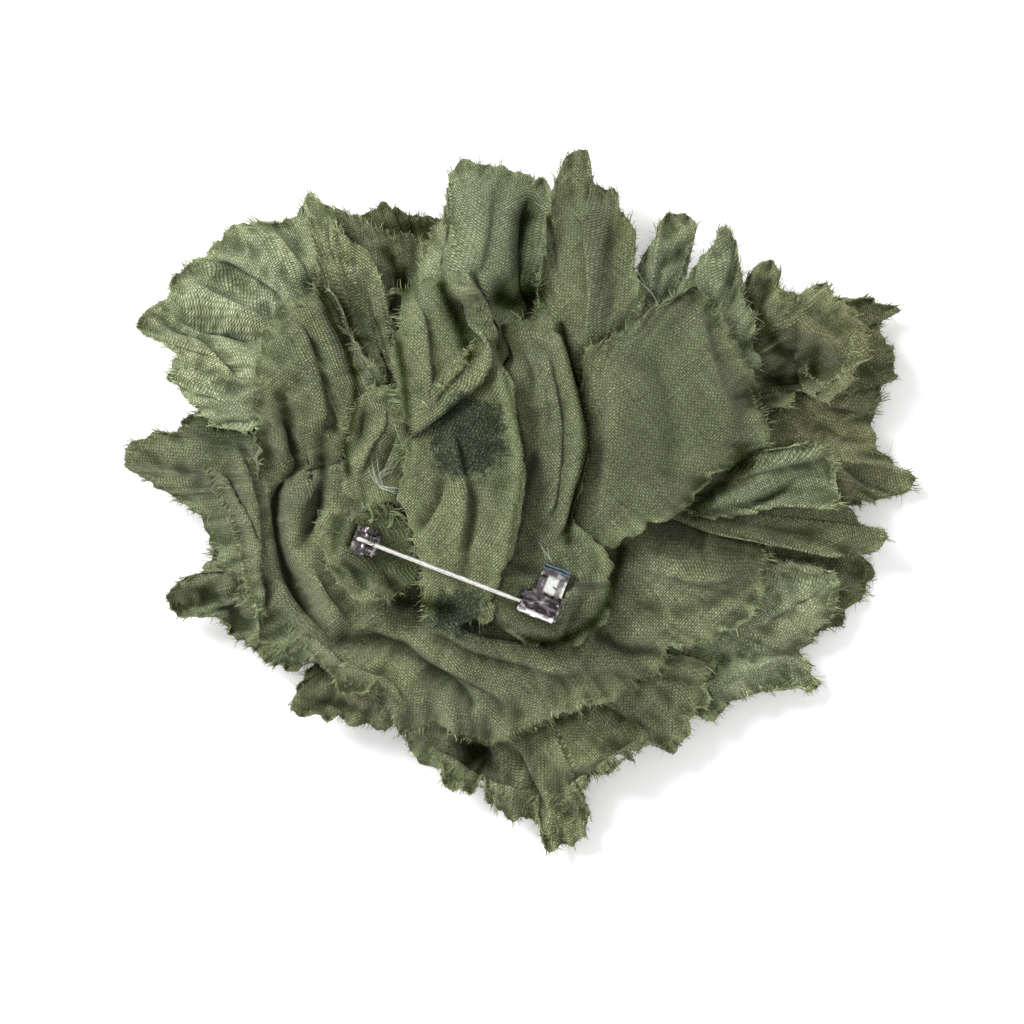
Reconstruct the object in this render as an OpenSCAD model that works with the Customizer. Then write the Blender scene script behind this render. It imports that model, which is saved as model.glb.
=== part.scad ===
// Flower lapel pin: a raw-edged gauze flower lying face down, with a steel bar pin on its back.
// The origin is on the floor under the middle of the flower, +Z up, so the back and the pin face up.
// Places in the tables are shares of the layout width, across from the left and down from the top.
// Heights in the tables are layers: whole numbers are sheets of cloth lying on each other.

/* [Flower] */
// Width of the flower across its petals
flower_w = 109.3; // [100:0.1:120]
// Height of the gathered cloth at the middle of the back
back_h = 22; // [21:0.5:26]
// Thickness of each wall of cloth
cloth_t = 1.1; // [1:0.05:1.15]
// Gap between two layers of cloth at the gathers
layer_gap = 0.4; // [0.35:0.01:0.5]
// Height from one layer to the next at the rim of the flower
rim_pitch = 2; // [1.8:0.1:2.4]
// Height of the lowest petal's rim above the floor
rim_lift = 1; // [0.8:0.1:2]
// Height of a full fold or pleat in the cloth
fold_h = 2.2; // [1:0.1:2.6]

/* [Front ruffles] */
// Radius of the outer ruffle on the hidden front
front_r = 34; // [28:0.5:38]
// Radius of the middle ruffle on the hidden front
ruffle_r = 22; // [16:0.5:24]
// Radius of the bud at the middle of the front
bud_r = 10; // [7:0.5:12]
// Height of the waves along the edge of a ruffle
ruffle_wave = 1.5; // [0.8:0.1:1.6]

/* [Bar pin] */
// Length of the bar
bar_l = 30; // [28:0.5:32]
// Width of the bar
bar_w = 4.6; // [4.4:0.1:5.5]
// Thickness of the bar's metal
bar_t = 0.8; // [0.6:0.05:1]
// Turn of the bar across the back, clockwise seen from above
bar_turn = 21; // [15:1:27]
// Gap between the bar and the cloth that it lies on
bar_gap = 0.3; // [0.25:0.01:0.5]
// Height of the stem's axis above the top of the bar
stem_h = 3.2; // [3:0.1:3.8]
// Diameter of the stem's wire
stem_d = 0.66; // [0.6:0.02:0.8]
// Bore of the eye that the wire forms round the rivet
eye_bore = 1.7; // [1.6:0.05:1.8]
// Diameter of the hinge rivet
rivet_d = 0.9; // [0.8:0.05:1]
// Thickness of the hinge ears
ear_t = 0.45; // [0.4:0.05:0.6]
// Gap between the stem's eye and each ear
ear_gap = 0.85; // [0.8:0.05:1]
// Length of the catch along the bar
catch_l = 5; // [4:0.1:5.6]
// Thickness of the catch's metal
catch_t = 0.6; // [0.5:0.05:0.7]
// Clearance round the stem inside the catch
catch_gap = 0.4; // [0.35:0.05:0.6]
// Width of the catch's hood, measured up its slope
hood_w = 3.4; // [3:0.1:4]
// Length along the bar of the strip behind the hood
strip_l = 3.8; // [3:0.1:4]

/* [Hidden] */

// The flower fills this share of the layout's width, round this middle
flower_share = 0.794;
middle = [0.520, 0.499];
layout_w = flower_w / flower_share;

// The gathered back is flat inside the plateau and falls to the rim by the rim line
hub = [0.470, 0.500];
hub_reach = [0.400, 0.350];
plateau = 0.35;
rim_line = 1.10;
top_layer = 11;
low_layer = 4;
hub_pitch = cloth_t + layer_gap;

function place(p) = [(p.x - middle.x) * layout_w, (middle.y - p.y) * layout_w];
function mix(a, b, t) = a + (b - a) * t;
function ease(t) = let (c = max(0, min(1, t))) c * c * (3 - 2 * c);
function spread(p) = norm([(p.x - hub.x) / hub_reach.x, (p.y - hub.y) / hub_reach.y]);
function hub_z(layer) = back_h - (top_layer - layer) * hub_pitch;
function rim_z(layer) = rim_lift + (layer - low_layer) * rim_pitch;

// Folds shared by every layer that they cross: a start, a middle and an end, the half width
// as a share of the layout and the rise as a share of a full fold, negative for a valley
// columns: start across, down, middle across, down, end across, down, half width, rise
folds = [
    [0.282, 0.395, 0.292, 0.440, 0.298, 0.468, 0.010, -0.7],
    [0.276, 0.486, 0.270, 0.535, 0.304, 0.609, 0.010, -0.9],
    [0.303, 0.480, 0.297, 0.545, 0.335, 0.620, 0.013, 0.8],
    [0.262, 0.420, 0.245, 0.500, 0.262, 0.560, 0.016, 0.6],
    [0.326, 0.430, 0.321, 0.500, 0.300, 0.548, 0.009, -0.6],
    [0.322, 0.290, 0.337, 0.325, 0.356, 0.370, 0.010, -1.0],
    [0.258, 0.400, 0.262, 0.430, 0.268, 0.450, 0.007, -0.6],
    [0.345, 0.640, 0.418, 0.657, 0.470, 0.705, 0.010, -0.7],
    [0.320, 0.650, 0.390, 0.695, 0.470, 0.712, 0.017, 0.7],
    [0.420, 0.640, 0.530, 0.668, 0.640, 0.640, 0.016, 0.6],
    [0.598, 0.636, 0.625, 0.650, 0.660, 0.652, 0.009, -0.6],
    [0.525, 0.225, 0.520, 0.270, 0.500, 0.300, 0.013, -0.8],
    [0.470, 0.190, 0.465, 0.240, 0.450, 0.290, 0.020, 0.6],
    [0.402, 0.300, 0.410, 0.270, 0.418, 0.245, 0.018, -0.8],
    [0.575, 0.180, 0.580, 0.260, 0.590, 0.340, 0.022, 0.6],
    [0.620, 0.420, 0.690, 0.390, 0.745, 0.380, 0.040, 0.5],
    [0.682, 0.512, 0.712, 0.488, 0.745, 0.462, 0.016, -0.9],
    [0.700, 0.530, 0.760, 0.545, 0.810, 0.540, 0.014, -0.5],
    [0.645, 0.565, 0.690, 0.578, 0.745, 0.565, 0.028, 0.6],
    [0.755, 0.395, 0.790, 0.375, 0.815, 0.365, 0.018, -1.3],
    [0.762, 0.330, 0.800, 0.318, 0.838, 0.345, 0.012, 0.9],
    [0.700, 0.690, 0.760, 0.665, 0.815, 0.610, 0.014, 0.6],
    [0.480, 0.750, 0.470, 0.765, 0.478, 0.780, 0.018, -1.0],
    [0.560, 0.750, 0.590, 0.770, 0.600, 0.780, 0.014, 0.5],
    [0.640, 0.290, 0.655, 0.320, 0.668, 0.345, 0.010, -0.7]
];

// Each petal is a fan of ribs from its root. Its module gives the root, the layer at the root,
// how far it sags, and how many steps the mesh takes across the ribs and along them.
// columns of a rib: across, down, layers above the petal's own layer at the tip
broad_ribs = [
    [0.584, 0.355, 0.1], [0.600, 0.341, 0], [0.622, 0.332, 0], [0.645, 0.315, 0.1],
    [0.656, 0.304, 0.2], [0.676, 0.297, 0], [0.693, 0.293, 0.2], [0.715, 0.310, 0],
    [0.728, 0.325, 0.1], [0.742, 0.351, -0.1], [0.755, 0.381, 0.1], [0.763, 0.410, 0],
    [0.768, 0.440, 0.1], [0.745, 0.457, 0.2], [0.702, 0.481, 0.3], [0.681, 0.512, 0.2],
    [0.642, 0.530, 0.1], [0.613, 0.544, 0], [0.596, 0.560, -0.2]];
point_ribs = [
    [0.536, 0.335, 0], [0.539, 0.290, 0.1], [0.546, 0.235, 0.3], [0.552, 0.195, 0.2],
    [0.560, 0.172, 0.1], [0.573, 0.150, 0], [0.585, 0.153, 0], [0.591, 0.165, 0],
    [0.593, 0.182, 0], [0.614, 0.190, -0.1], [0.622, 0.210, -0.3], [0.634, 0.228, -0.4],
    [0.636, 0.245, -0.3], [0.634, 0.262, -0.1], [0.639, 0.285, 0], [0.652, 0.315, 0]];
top_ribs = [
    [0.408, 0.305, -0.1], [0.420, 0.262, -0.2], [0.434, 0.226, 0], [0.444, 0.207, 0.1],
    [0.447, 0.186, 0.2], [0.452, 0.169, 0.3], [0.468, 0.165, 0.2], [0.488, 0.166, 0.2],
    [0.503, 0.169, 0], [0.516, 0.173, -0.1], [0.535, 0.179, -0.4], [0.551, 0.189, -0.5],
    [0.553, 0.220, -0.5], [0.550, 0.262, -0.3], [0.545, 0.300, 0]];
top_shade_ribs = [
    [0.322, 0.225, -0.2], [0.314, 0.200, 0.3], [0.330, 0.208, 0.2], [0.357, 0.217, 0.1],
    [0.377, 0.225, 0], [0.396, 0.233, 0], [0.427, 0.241, 0.1], [0.436, 0.262, -0.3],
    [0.440, 0.290, 0]];
far_top_ribs = [
    [0.352, 0.228, 0], [0.356, 0.213, 0], [0.371, 0.208, 0.1], [0.386, 0.204, 0.1],
    [0.394, 0.211, 0], [0.414, 0.215, 0], [0.437, 0.217, 0], [0.455, 0.240, 0]];
pleat_ribs = [
    [0.330, 0.330, -0.3], [0.321, 0.290, -0.3], [0.316, 0.255, 0], [0.309, 0.222, 0.3],
    [0.312, 0.199, 0.6], [0.327, 0.209, 0.8], [0.346, 0.232, 0.9], [0.365, 0.251, 0.8],
    [0.378, 0.274, 0.7], [0.387, 0.300, 0.5], [0.394, 0.330, 0.3], [0.399, 0.360, 0]];
upper_left_ribs = [
    [0.335, 0.240, 0], [0.314, 0.196, 0.3], [0.296, 0.216, 0.1], [0.272, 0.219, 0.2],
    [0.243, 0.223, 0], [0.222, 0.238, 0.3], [0.208, 0.251, 0.1], [0.193, 0.260, -0.3],
    [0.180, 0.276, 0.3], [0.168, 0.292, 0.1], [0.144, 0.311, -0.3], [0.140, 0.330, 0],
    [0.166, 0.345, 0.4], [0.175, 0.361, 0.3], [0.167, 0.375, 0.1], [0.186, 0.397, 0.1],
    [0.200, 0.414, 0.3], [0.228, 0.432, 0.4]];
left_inner_ribs = [
    [0.262, 0.480, 0], [0.258, 0.440, 0], [0.256, 0.405, 0.1], [0.260, 0.375, 0.1],
    [0.262, 0.343, 0.2], [0.271, 0.322, 0.3], [0.284, 0.308, 0.1], [0.300, 0.300, 0.3],
    [0.316, 0.283, 0.3], [0.324, 0.292, 0.2], [0.341, 0.325, 0.1], [0.356, 0.352, 0],
    [0.372, 0.380, 0]];
sweep_ribs = [
    [0.228, 0.402, -0.2], [0.205, 0.411, -0.2], [0.172, 0.431, 0], [0.150, 0.432, 0.3],
    [0.123, 0.455, 0.5], [0.148, 0.481, 0.2], [0.179, 0.500, 0.1], [0.199, 0.521, 0.3],
    [0.213, 0.547, 0.1], [0.228, 0.578, 0.3], [0.246, 0.607, 0], [0.262, 0.636, 0.4],
    [0.298, 0.660, 0.2], [0.335, 0.681, 0.5], [0.375, 0.703, 0.2], [0.405, 0.731, 0.4],
    [0.430, 0.729, 0.2], [0.455, 0.734, 0.6], [0.491, 0.742, 0.3], [0.530, 0.727, 0.6],
    [0.570, 0.712, 0.4], [0.610, 0.697, 0.6], [0.650, 0.678, 0.2], [0.671, 0.653, 0.5],
    [0.703, 0.642, 0.3], [0.738, 0.622, 0.4], [0.760, 0.602, 0.2], [0.770, 0.575, 0.3],
    [0.764, 0.550, 0]];
lower_left_ribs = [
    [0.226, 0.530, 0], [0.213, 0.549, 0.1], [0.205, 0.571, 0.3], [0.184, 0.578, -0.2],
    [0.170, 0.597, 0.2], [0.176, 0.612, -0.1], [0.206, 0.619, 0.3], [0.239, 0.644, 0],
    [0.266, 0.660, 0.1], [0.290, 0.669, 0], [0.305, 0.670, 0]];
lower_small_ribs = [
    [0.312, 0.666, 0], [0.304, 0.676, 0.2], [0.302, 0.688, -0.2], [0.294, 0.697, 0.1],
    [0.293, 0.707, 0.2], [0.320, 0.718, -0.2], [0.355, 0.724, 0.2], [0.388, 0.729, 0],
    [0.400, 0.735, 0]];
bottom_ribs = [
    [0.405, 0.738, 0], [0.413, 0.749, 0.2], [0.427, 0.770, 0.3], [0.446, 0.785, 0.1],
    [0.473, 0.798, -0.3], [0.508, 0.818, 0], [0.538, 0.822, 0.2], [0.545, 0.848, 0],
    [0.570, 0.848, 0], [0.583, 0.840, 0.1], [0.590, 0.819, 0.4], [0.586, 0.797, 0],
    [0.607, 0.781, 0.4], [0.625, 0.767, 0.2], [0.654, 0.750, 0.3], [0.674, 0.751, 0],
    [0.683, 0.738, 0.2], [0.690, 0.718, 0]];
right_low_ribs = [
    [0.694, 0.714, 0], [0.718, 0.716, 0.2], [0.736, 0.705, 0.3], [0.785, 0.687, 0.1],
    [0.805, 0.691, 0.1], [0.823, 0.691, 0.2], [0.812, 0.671, -0.1], [0.807, 0.656, 0.2],
    [0.812, 0.642, 0.3], [0.830, 0.616, 0.6], [0.836, 0.590, 0.7], [0.828, 0.562, 0.5]];
right_under_ribs = [
    [0.805, 0.649, 0], [0.814, 0.642, 0.1], [0.836, 0.627, 0.2], [0.854, 0.612, 0],
    [0.869, 0.589, 0.2], [0.878, 0.569, 0], [0.863, 0.557, 0.2], [0.840, 0.548, 0]];
right_back_ribs = [
    [0.775, 0.302, 0], [0.800, 0.299, 0.1], [0.822, 0.298, -0.1], [0.851, 0.296, 0.2],
    [0.879, 0.302, 0], [0.903, 0.309, 0.2], [0.887, 0.317, -0.1], [0.886, 0.333, 0],
    [0.895, 0.348, 0.2], [0.895, 0.361, 0], [0.898, 0.377, 0.2], [0.886, 0.386, -0.1],
    [0.882, 0.402, 0], [0.876, 0.430, -0.2], [0.895, 0.465, 0.2], [0.917, 0.473, 0.3],
    [0.905, 0.491, -0.2], [0.869, 0.501, 0], [0.859, 0.511, 0]];
right_mid_ribs = [
    [0.728, 0.438, 0.1], [0.756, 0.446, -0.2], [0.782, 0.447, 0], [0.806, 0.442, 0.2],
    [0.829, 0.447, 0.2], [0.835, 0.469, 0], [0.836, 0.490, -0.1], [0.838, 0.508, 0.2],
    [0.818, 0.508, 0], [0.798, 0.507, 0.3], [0.779, 0.508, 0.3], [0.747, 0.514, 0.2],
    [0.715, 0.521, 0]];
right_fold_ribs = [
    [0.825, 0.486, 0], [0.843, 0.503, 0], [0.857, 0.512, 0.1], [0.862, 0.525, -0.1],
    [0.882, 0.530, 0.2], [0.885, 0.543, 0.3], [0.868, 0.553, 0], [0.835, 0.557, 0.1],
    [0.800, 0.551, 0.2], [0.765, 0.542, 0.1], [0.730, 0.533, 0]];
small_tip_ribs = [
    [0.634, 0.300, 0], [0.640, 0.265, 0], [0.650, 0.243, 0.2], [0.658, 0.232, 0.1],
    [0.663, 0.220, 0.4], [0.678, 0.214, 0.2], [0.696, 0.221, 0.4], [0.694, 0.240, 0.2],
    [0.689, 0.262, -0.3], [0.682, 0.290, -0.2]];
pale_curl_ribs = [
    [0.674, 0.300, -0.2], [0.692, 0.268, 0], [0.714, 0.244, 0.3], [0.719, 0.231, 0.5],
    [0.731, 0.228, 0.5], [0.739, 0.243, 0.6], [0.742, 0.271, 0.5], [0.748, 0.300, 0.4],
    [0.754, 0.335, 0.2], [0.762, 0.365, 0]];
roll_ribs = [
    [0.738, 0.300, 0.2], [0.750, 0.274, 0.3], [0.765, 0.264, 0.4], [0.777, 0.274, 0.2],
    [0.784, 0.293, 0.4], [0.812, 0.302, 0.6], [0.832, 0.315, 0.9], [0.852, 0.333, 0.8],
    [0.854, 0.353, 0.5], [0.841, 0.375, 0.4], [0.820, 0.385, 0.3], [0.806, 0.390, 0.1],
    [0.795, 0.400, -0.1], [0.785, 0.410, 0]];

// Strips run down the back: each row crosses the strip from its left to its right edge
// columns: left across, left down, right across, right down, layer at the left, at the right
gather_left_rows = [
    [0.396, 0.293, 0.441, 0.303, 10.6, 10.3],
    [0.400, 0.318, 0.458, 0.322, 10.6, 10.5],
    [0.397, 0.345, 0.478, 0.350, 10.7, 11.0],
    [0.392, 0.375, 0.494, 0.378, 10.8, 11.3],
    [0.403, 0.407, 0.505, 0.407, 11.0, 11.4],
    [0.404, 0.447, 0.518, 0.447, 11.2, 11.5],
    [0.401, 0.494, 0.519, 0.494, 11.4, 11.5],
    [0.412, 0.530, 0.513, 0.535, 11.8, 11.8],
    [0.424, 0.560, 0.506, 0.560, 11.9, 11.8],
    [0.424, 0.585, 0.499, 0.582, 11.9, 11.8],
    [0.424, 0.608, 0.495, 0.604, 11.5, 11.8],
    [0.432, 0.622, 0.490, 0.622, 11.0, 11.2]];
gather_middle_rows = [
    [0.484, 0.300, 0.536, 0.318, 10.1, 10.0],
    [0.494, 0.330, 0.560, 0.340, 10.0, 10.1],
    [0.502, 0.368, 0.572, 0.370, 10.0, 10.3],
    [0.510, 0.407, 0.581, 0.407, 9.9, 10.3],
    [0.512, 0.447, 0.585, 0.447, 10.0, 10.2],
    [0.508, 0.494, 0.579, 0.494, 10.0, 10.2],
    [0.500, 0.530, 0.570, 0.525, 9.9, 10.1],
    [0.492, 0.555, 0.604, 0.545, 9.9, 9.9],
    [0.490, 0.580, 0.607, 0.570, 9.9, 9.9],
    [0.493, 0.604, 0.598, 0.597, 9.9, 9.8],
    [0.506, 0.625, 0.570, 0.622, 9.8, 9.8]];
small_roll_rows = [
    [0.370, 0.385, 0.392, 0.388, 9.9, 10.2],
    [0.354, 0.410, 0.396, 0.410, 10.0, 10.4],
    [0.346, 0.440, 0.397, 0.445, 10.1, 10.5],
    [0.344, 0.470, 0.394, 0.475, 10.1, 10.4],
    [0.350, 0.496, 0.391, 0.498, 10.0, 10.0]];
hinge_patch_rows = [
    [0.334, 0.510, 0.392, 0.506, 10.1, 9.9],
    [0.318, 0.520, 0.404, 0.522, 10.2, 9.9],
    [0.321, 0.545, 0.414, 0.545, 10.1, 10.0],
    [0.326, 0.568, 0.418, 0.565, 10.0, 10.0],
    [0.342, 0.588, 0.412, 0.584, 10.2, 10.0],
    [0.364, 0.604, 0.394, 0.603, 10.2, 10.1]];

// The pin lies along its own line from the hinge, and its parts are placed on this line
rivet_place = [0.366, 0.541];
rivet_in = 1.7;
bar_layer = 10;
bar_z = hub_z(bar_layer) + cloth_t / 2 + bar_gap;
stem_z = bar_t + stem_h;
eye_r = eye_bore / 2 + stem_d / 2;
ear_inner = stem_d / 2 + ear_gap;
ear_r = 1.25;
rivet_head = 0.3;
rivet_head_d = 1.4;

// The hood slopes by this much, so that the sprung stem slides out under it
exit_tilt = 45;
riser_extra = 0.15;
riser_in = stem_d / 2 + catch_gap + riser_extra;
catch_end = 0.4;
lip_out = 6.2;
lip_h = 1.7;

// The hood bends in this many steps, and its mouth is rounder at the end nearer the hinge
bend_steps = 3;
hood_near_r = 1.6;
hood_far_r = 0.7;

// The stem stops short of the catch's far end and narrows to a point
point_short = 1.6;
stem_reach = bar_l - rivet_in - catch_end - point_short;
point_l = 6;
point_d = 0.2;

// The wire flares along this neck, towards the eye
neck_l = 0.9;
neck_d = stem_d + 0.1;

// Petals start this share of the way from their root, keep their layer and then leave it by
// the rib power, and sag at once by the sag power. A fold ends this many half widths out.
fan_inner = 0.07;
rib_power = 1.7;
sag_power = 0.4;
fold_end = 3;

// The hidden front: the hole at its middle, and how far that lies to the right of the hub
front_hole = 3.5;
front_shift = [0.030, 0];

// Distance from p to the stretch from a to b
function stretch_gap(p, a, b) =
    let (w = b - a, t = max(0, min(1, ((p - a) * w) / (w * w))))
    norm(p - a - w * t);
function fold_gap(p, f) = min(
    stretch_gap(p, [f[0], f[1]], [f[2], f[3]]),
    stretch_gap(p, [f[2], f[3]], [f[4], f[5]]));
function fold_rise(p, f) = let (g = fold_gap(p, f) / f[6]) g > fold_end ? 0 : f[7] * exp(-g * g);
function fold_z(p) =
    fold_h * [for (f = folds) fold_rise(p, f)] * [for (f = folds) 1];

// Height of a layer of cloth over a place in the layout
function layer_z(p, layer) =
    let (s = ease((spread(p) - plateau) / (rim_line - plateau)))
    mix(hub_z(layer), rim_z(layer), s) + fold_z(p);

// A smooth curve through the rows of a table, read at a share from the first to the last
function curve_row(rows, share) =
    let (
        last = len(rows) - 1,
        place_on = share * last,
        i = min(last - 1, floor(place_on)),
        t = place_on - i,
        a = rows[max(0, i - 1)],
        b = rows[i],
        c = rows[i + 1],
        d = rows[min(last, i + 2)]
    )
    b + 0.5 * t * (c - a + t * (2 * a - 5 * b + 4 * c - d + t * (3 * (b - c) + d - a)));

// A petal's ribs as rows that go from the root to the tip
function fan_rows(root, layer, ribs) = [for (r = ribs)
    let (tip = [r.x, r.y], foot = mix(root, tip, fan_inner))
    [foot.x, foot.y, tip.x, tip.y, layer, layer + r.z]];

// Middle surface of a sheet, as rows of points. Its sag is how many layers it drops away from
// the sheet above it, at once past its root.
function sheet_grid(rows, across, along, power, sag = 0) = [for (i = [0:across])
    let (row = curve_row(rows, i / across))
    [for (j = [0:along])
        let (
            v = j / along,
            p = [mix(row[0], row[2], v), mix(row[1], row[3], v)],
            layer = mix(row[4], row[5], pow(v, power)) - sag * pow(v, sag_power),
            at = place(p)
        )
        [at.x, at.y, layer_z(p, layer)]]];

// True where a grid's rows follow each other clockwise, seen from above
function runs_clockwise(grid) =
    let (
        last = len(grid[0]) - 1,
        turns = [for (i = [0:len(grid) - 2])
            let (out = grid[i][last] - grid[i][0], on = grid[i + 1][last] - grid[i][last])
            out.x * on.y - out.y * on.x]
    )
    turns * [for (t = turns) 1] < 0;

function turned_over(faces, over) = over ? [for (f = faces) [f[2], f[1], f[0]]] : faces;

// A closed wall of cloth round a grid of points, open at its ends or joined into a ring
module cloth(grid, ring = false) {
    rows = len(grid);
    cols = len(grid[0]);
    half = [0, 0, cloth_t / 2];
    upper = [for (r = grid) for (p = r) p + half];
    lower = [for (r = grid) for (p = r) p - half];
    n = rows * cols;
    turns = ring ? rows : rows - 1;
    cells = [for (i = [0:turns - 1]) for (j = [0:cols - 2])
        let (k = (i + 1) % rows) [i * cols + j, k * cols + j, k * cols + j + 1, i * cols + j + 1]];
    near_edge = [for (i = [0:turns - 1]) [i * cols, ((i + 1) % rows) * cols]];
    far_edge = [for (e = near_edge) [e[1] + cols - 1, e[0] + cols - 1]];
    first_end = ring ? [] : [for (j = [0:cols - 2]) [j + 1, j]];
    last_end = ring ? [] : [for (j = [0:cols - 2]) [n - cols + j, n - cols + j + 1]];
    rim = concat(near_edge, far_edge, first_end, last_end);
    polyhedron(
        points = concat(upper, lower),
        faces = turned_over(concat(
            [for (c = cells) [c[0], c[1], c[2]]],
            [for (c = cells) [c[0], c[2], c[3]]],
            [for (c = cells) [n + c[2], n + c[1], n + c[0]]],
            [for (c = cells) [n + c[3], n + c[2], n + c[0]]],
            [for (e = rim) [e[1], e[0], n + e[0]]],
            [for (e = rim) [e[1], n + e[0], n + e[1]]]), runs_clockwise(grid)),
        convexity = 6);
}

module petal(root, layer, ribs, across, along, sag = 0) {
    cloth(sheet_grid(fan_rows(root, layer, ribs), across, along, rib_power, sag));
}

module strip(rows, across, along) {
    cloth(sheet_grid(rows, across, along, 1));
}

// A ruffle of the hidden front: a ring that falls from the gathers to the floor in waves
module ruffle(outer_r, top_z, waves, scallop, across, along) {
    low = cloth_t / 2;
    at = place(hub + front_shift);
    cloth([for (i = [0:across - 1])
        let (
            turn = 360 * i / across,
            wave = (1 - cos(turn * waves)) / 2,
            reach = outer_r * (1 - scallop * wave)
        )
        [for (j = [0:along])
            let (v = j / along, r = mix(front_hole, reach, v))
            [at.x + r * cos(turn), at.y + r * sin(turn),
                mix(top_z, low + ruffle_wave * wave, ease(v))]]], ring = true);
}

module petal_broad() {
    color("darkolivegreen") petal(root = [0.572, 0.450], layer = 9, ribs = broad_ribs,
        across = 20, along = 6);
}

module petal_point() {
    color("olivedrab") petal(root = [0.588, 0.400], layer = 8, ribs = point_ribs,
        across = 18, along = 5);
}

module petal_top() {
    color("darkseagreen") petal(root = [0.490, 0.410], layer = 7, ribs = top_ribs,
        across = 18, along = 6);
}

module petal_top_shade() {
    color("darkolivegreen") petal(root = [0.430, 0.370], layer = 6, ribs = top_shade_ribs,
        across = 12, along = 5, sag = 0.5);
}

module petal_far_top() {
    color("olive") petal(root = [0.430, 0.290], layer = 4.6, ribs = far_top_ribs,
        across = 9, along = 4, sag = 1.5);
}

module petal_pleat() {
    color("olivedrab") petal(root = [0.405, 0.420], layer = 8, ribs = pleat_ribs,
        across = 16, along = 6);
}

module petal_upper_left() {
    color("darkseagreen") petal(root = [0.385, 0.405], layer = 7, ribs = upper_left_ribs,
        across = 22, along = 6, sag = 0.55);
}

module petal_left_inner() {
    color("olivedrab") petal(root = [0.395, 0.450], layer = 9, ribs = left_inner_ribs,
        across = 20, along = 6);
}

module petal_sweep() {
    color("darkolivegreen") petal(root = [0.470, 0.500], layer = 6, ribs = sweep_ribs,
        across = 38, along = 8);
}

module petal_lower_left() {
    color("darkseagreen") petal(root = [0.400, 0.540], layer = 5, ribs = lower_left_ribs,
        across = 14, along = 6, sag = 1.5);
}

module petal_lower_small() {
    color("olive") petal(root = [0.410, 0.590], layer = 5, ribs = lower_small_ribs,
        across = 12, along = 4, sag = 0.8);
}

module petal_bottom() {
    color("olivedrab") petal(root = [0.500, 0.610], layer = 5, ribs = bottom_ribs,
        across = 20, along = 5, sag = 0.5);
}

module petal_right_low() {
    color("darkseagreen") petal(root = [0.600, 0.560], layer = 5, ribs = right_low_ribs,
        across = 18, along = 5, sag = 0.2);
}

module petal_right_under() {
    color("olive") petal(root = [0.640, 0.540], layer = 4, ribs = right_under_ribs,
        across = 10, along = 5, sag = 0.3);
}

module petal_right_back() {
    color("olive") petal(root = [0.640, 0.430], layer = 6, ribs = right_back_ribs,
        across = 18, along = 6, sag = 1.0);
}

module petal_right_mid() {
    color("darkseagreen") petal(root = [0.630, 0.490], layer = 8, ribs = right_mid_ribs,
        across = 14, along = 5, sag = 0.1);
}

module petal_right_fold() {
    color("olivedrab") petal(root = [0.630, 0.500], layer = 7, ribs = right_fold_ribs,
        across = 14, along = 5, sag = 0.9);
}

module petal_small_tip() {
    color("darkseagreen") petal(root = [0.640, 0.390], layer = 7, ribs = small_tip_ribs,
        across = 12, along = 5, sag = 0.7);
}

module petal_pale_curl() {
    color("darkseagreen") petal(root = [0.690, 0.390], layer = 8, ribs = pale_curl_ribs,
        across = 12, along = 5, sag = 0.2);
}

module petal_roll() {
    color("olive") petal(root = [0.715, 0.395], layer = 7, ribs = roll_ribs,
        across = 16, along = 6, sag = 0.2);
}

module gather_left() {
    color("olivedrab") strip(gather_left_rows, across = 12, along = 8);
}

module gather_middle() {
    color("darkolivegreen") strip(gather_middle_rows, across = 12, along = 7);
}

module small_roll() {
    color("darkseagreen") strip(small_roll_rows, across = 6, along = 5);
}

module hinge_patch() {
    color("olivedrab") strip(hinge_patch_rows, across = 8, along = 6);
}

module front_ring() {
    color("darkolivegreen") ruffle(front_r, top_z = hub_z(5), waves = 8,
        scallop = 0.12, across = 32, along = 4);
}

module front_ruffle() {
    color("olivedrab") ruffle(ruffle_r, top_z = hub_z(4), waves = 7,
        scallop = 0.10, across = 28, along = 3);
}

module front_bud() {
    color("darkseagreen") ruffle(bud_r, top_z = hub_z(3), waves = 5,
        scallop = 0.10, across = 20, along = 2);
}

// Moves children onto the bar's own line: +X toward the catch, +Y toward the catch's mouth
module on_bar() {
    at = place(rivet_place);
    translate([at.x, at.y, bar_z]) rotate([0, 0, -bar_turn]) translate([-rivet_in, 0, 0]) children();
}

// A bent strip of metal in outline, through its points and round at its bends
module bent_outline(points, t) {
    for (i = [0:len(points) - 2]) {
        step = points[i + 1] - points[i];
        translate(points[i]) rotate(atan2(step.y, step.x))
            translate([0, -t / 2]) square([norm(step), t]);
        translate(points[i + 1]) circle(d = t, $fn = 32);
    }
    translate(points[0]) circle(d = t, $fn = 32);
}

// The hood seen from above, with its mouth rounded at both corners
module hood_plan(depth) {
    square([catch_l, depth - hood_near_r]);
    translate([hood_near_r, 0]) square([catch_l - hood_near_r, depth - hood_far_r]);
    translate([hood_near_r, 0]) square([catch_l - hood_near_r - hood_far_r, depth]);
    translate([hood_near_r, depth - hood_near_r]) circle(r = hood_near_r, $fn = 48);
    translate([catch_l - hood_far_r, depth - hood_far_r]) circle(r = hood_far_r, $fn = 48);
}

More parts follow.
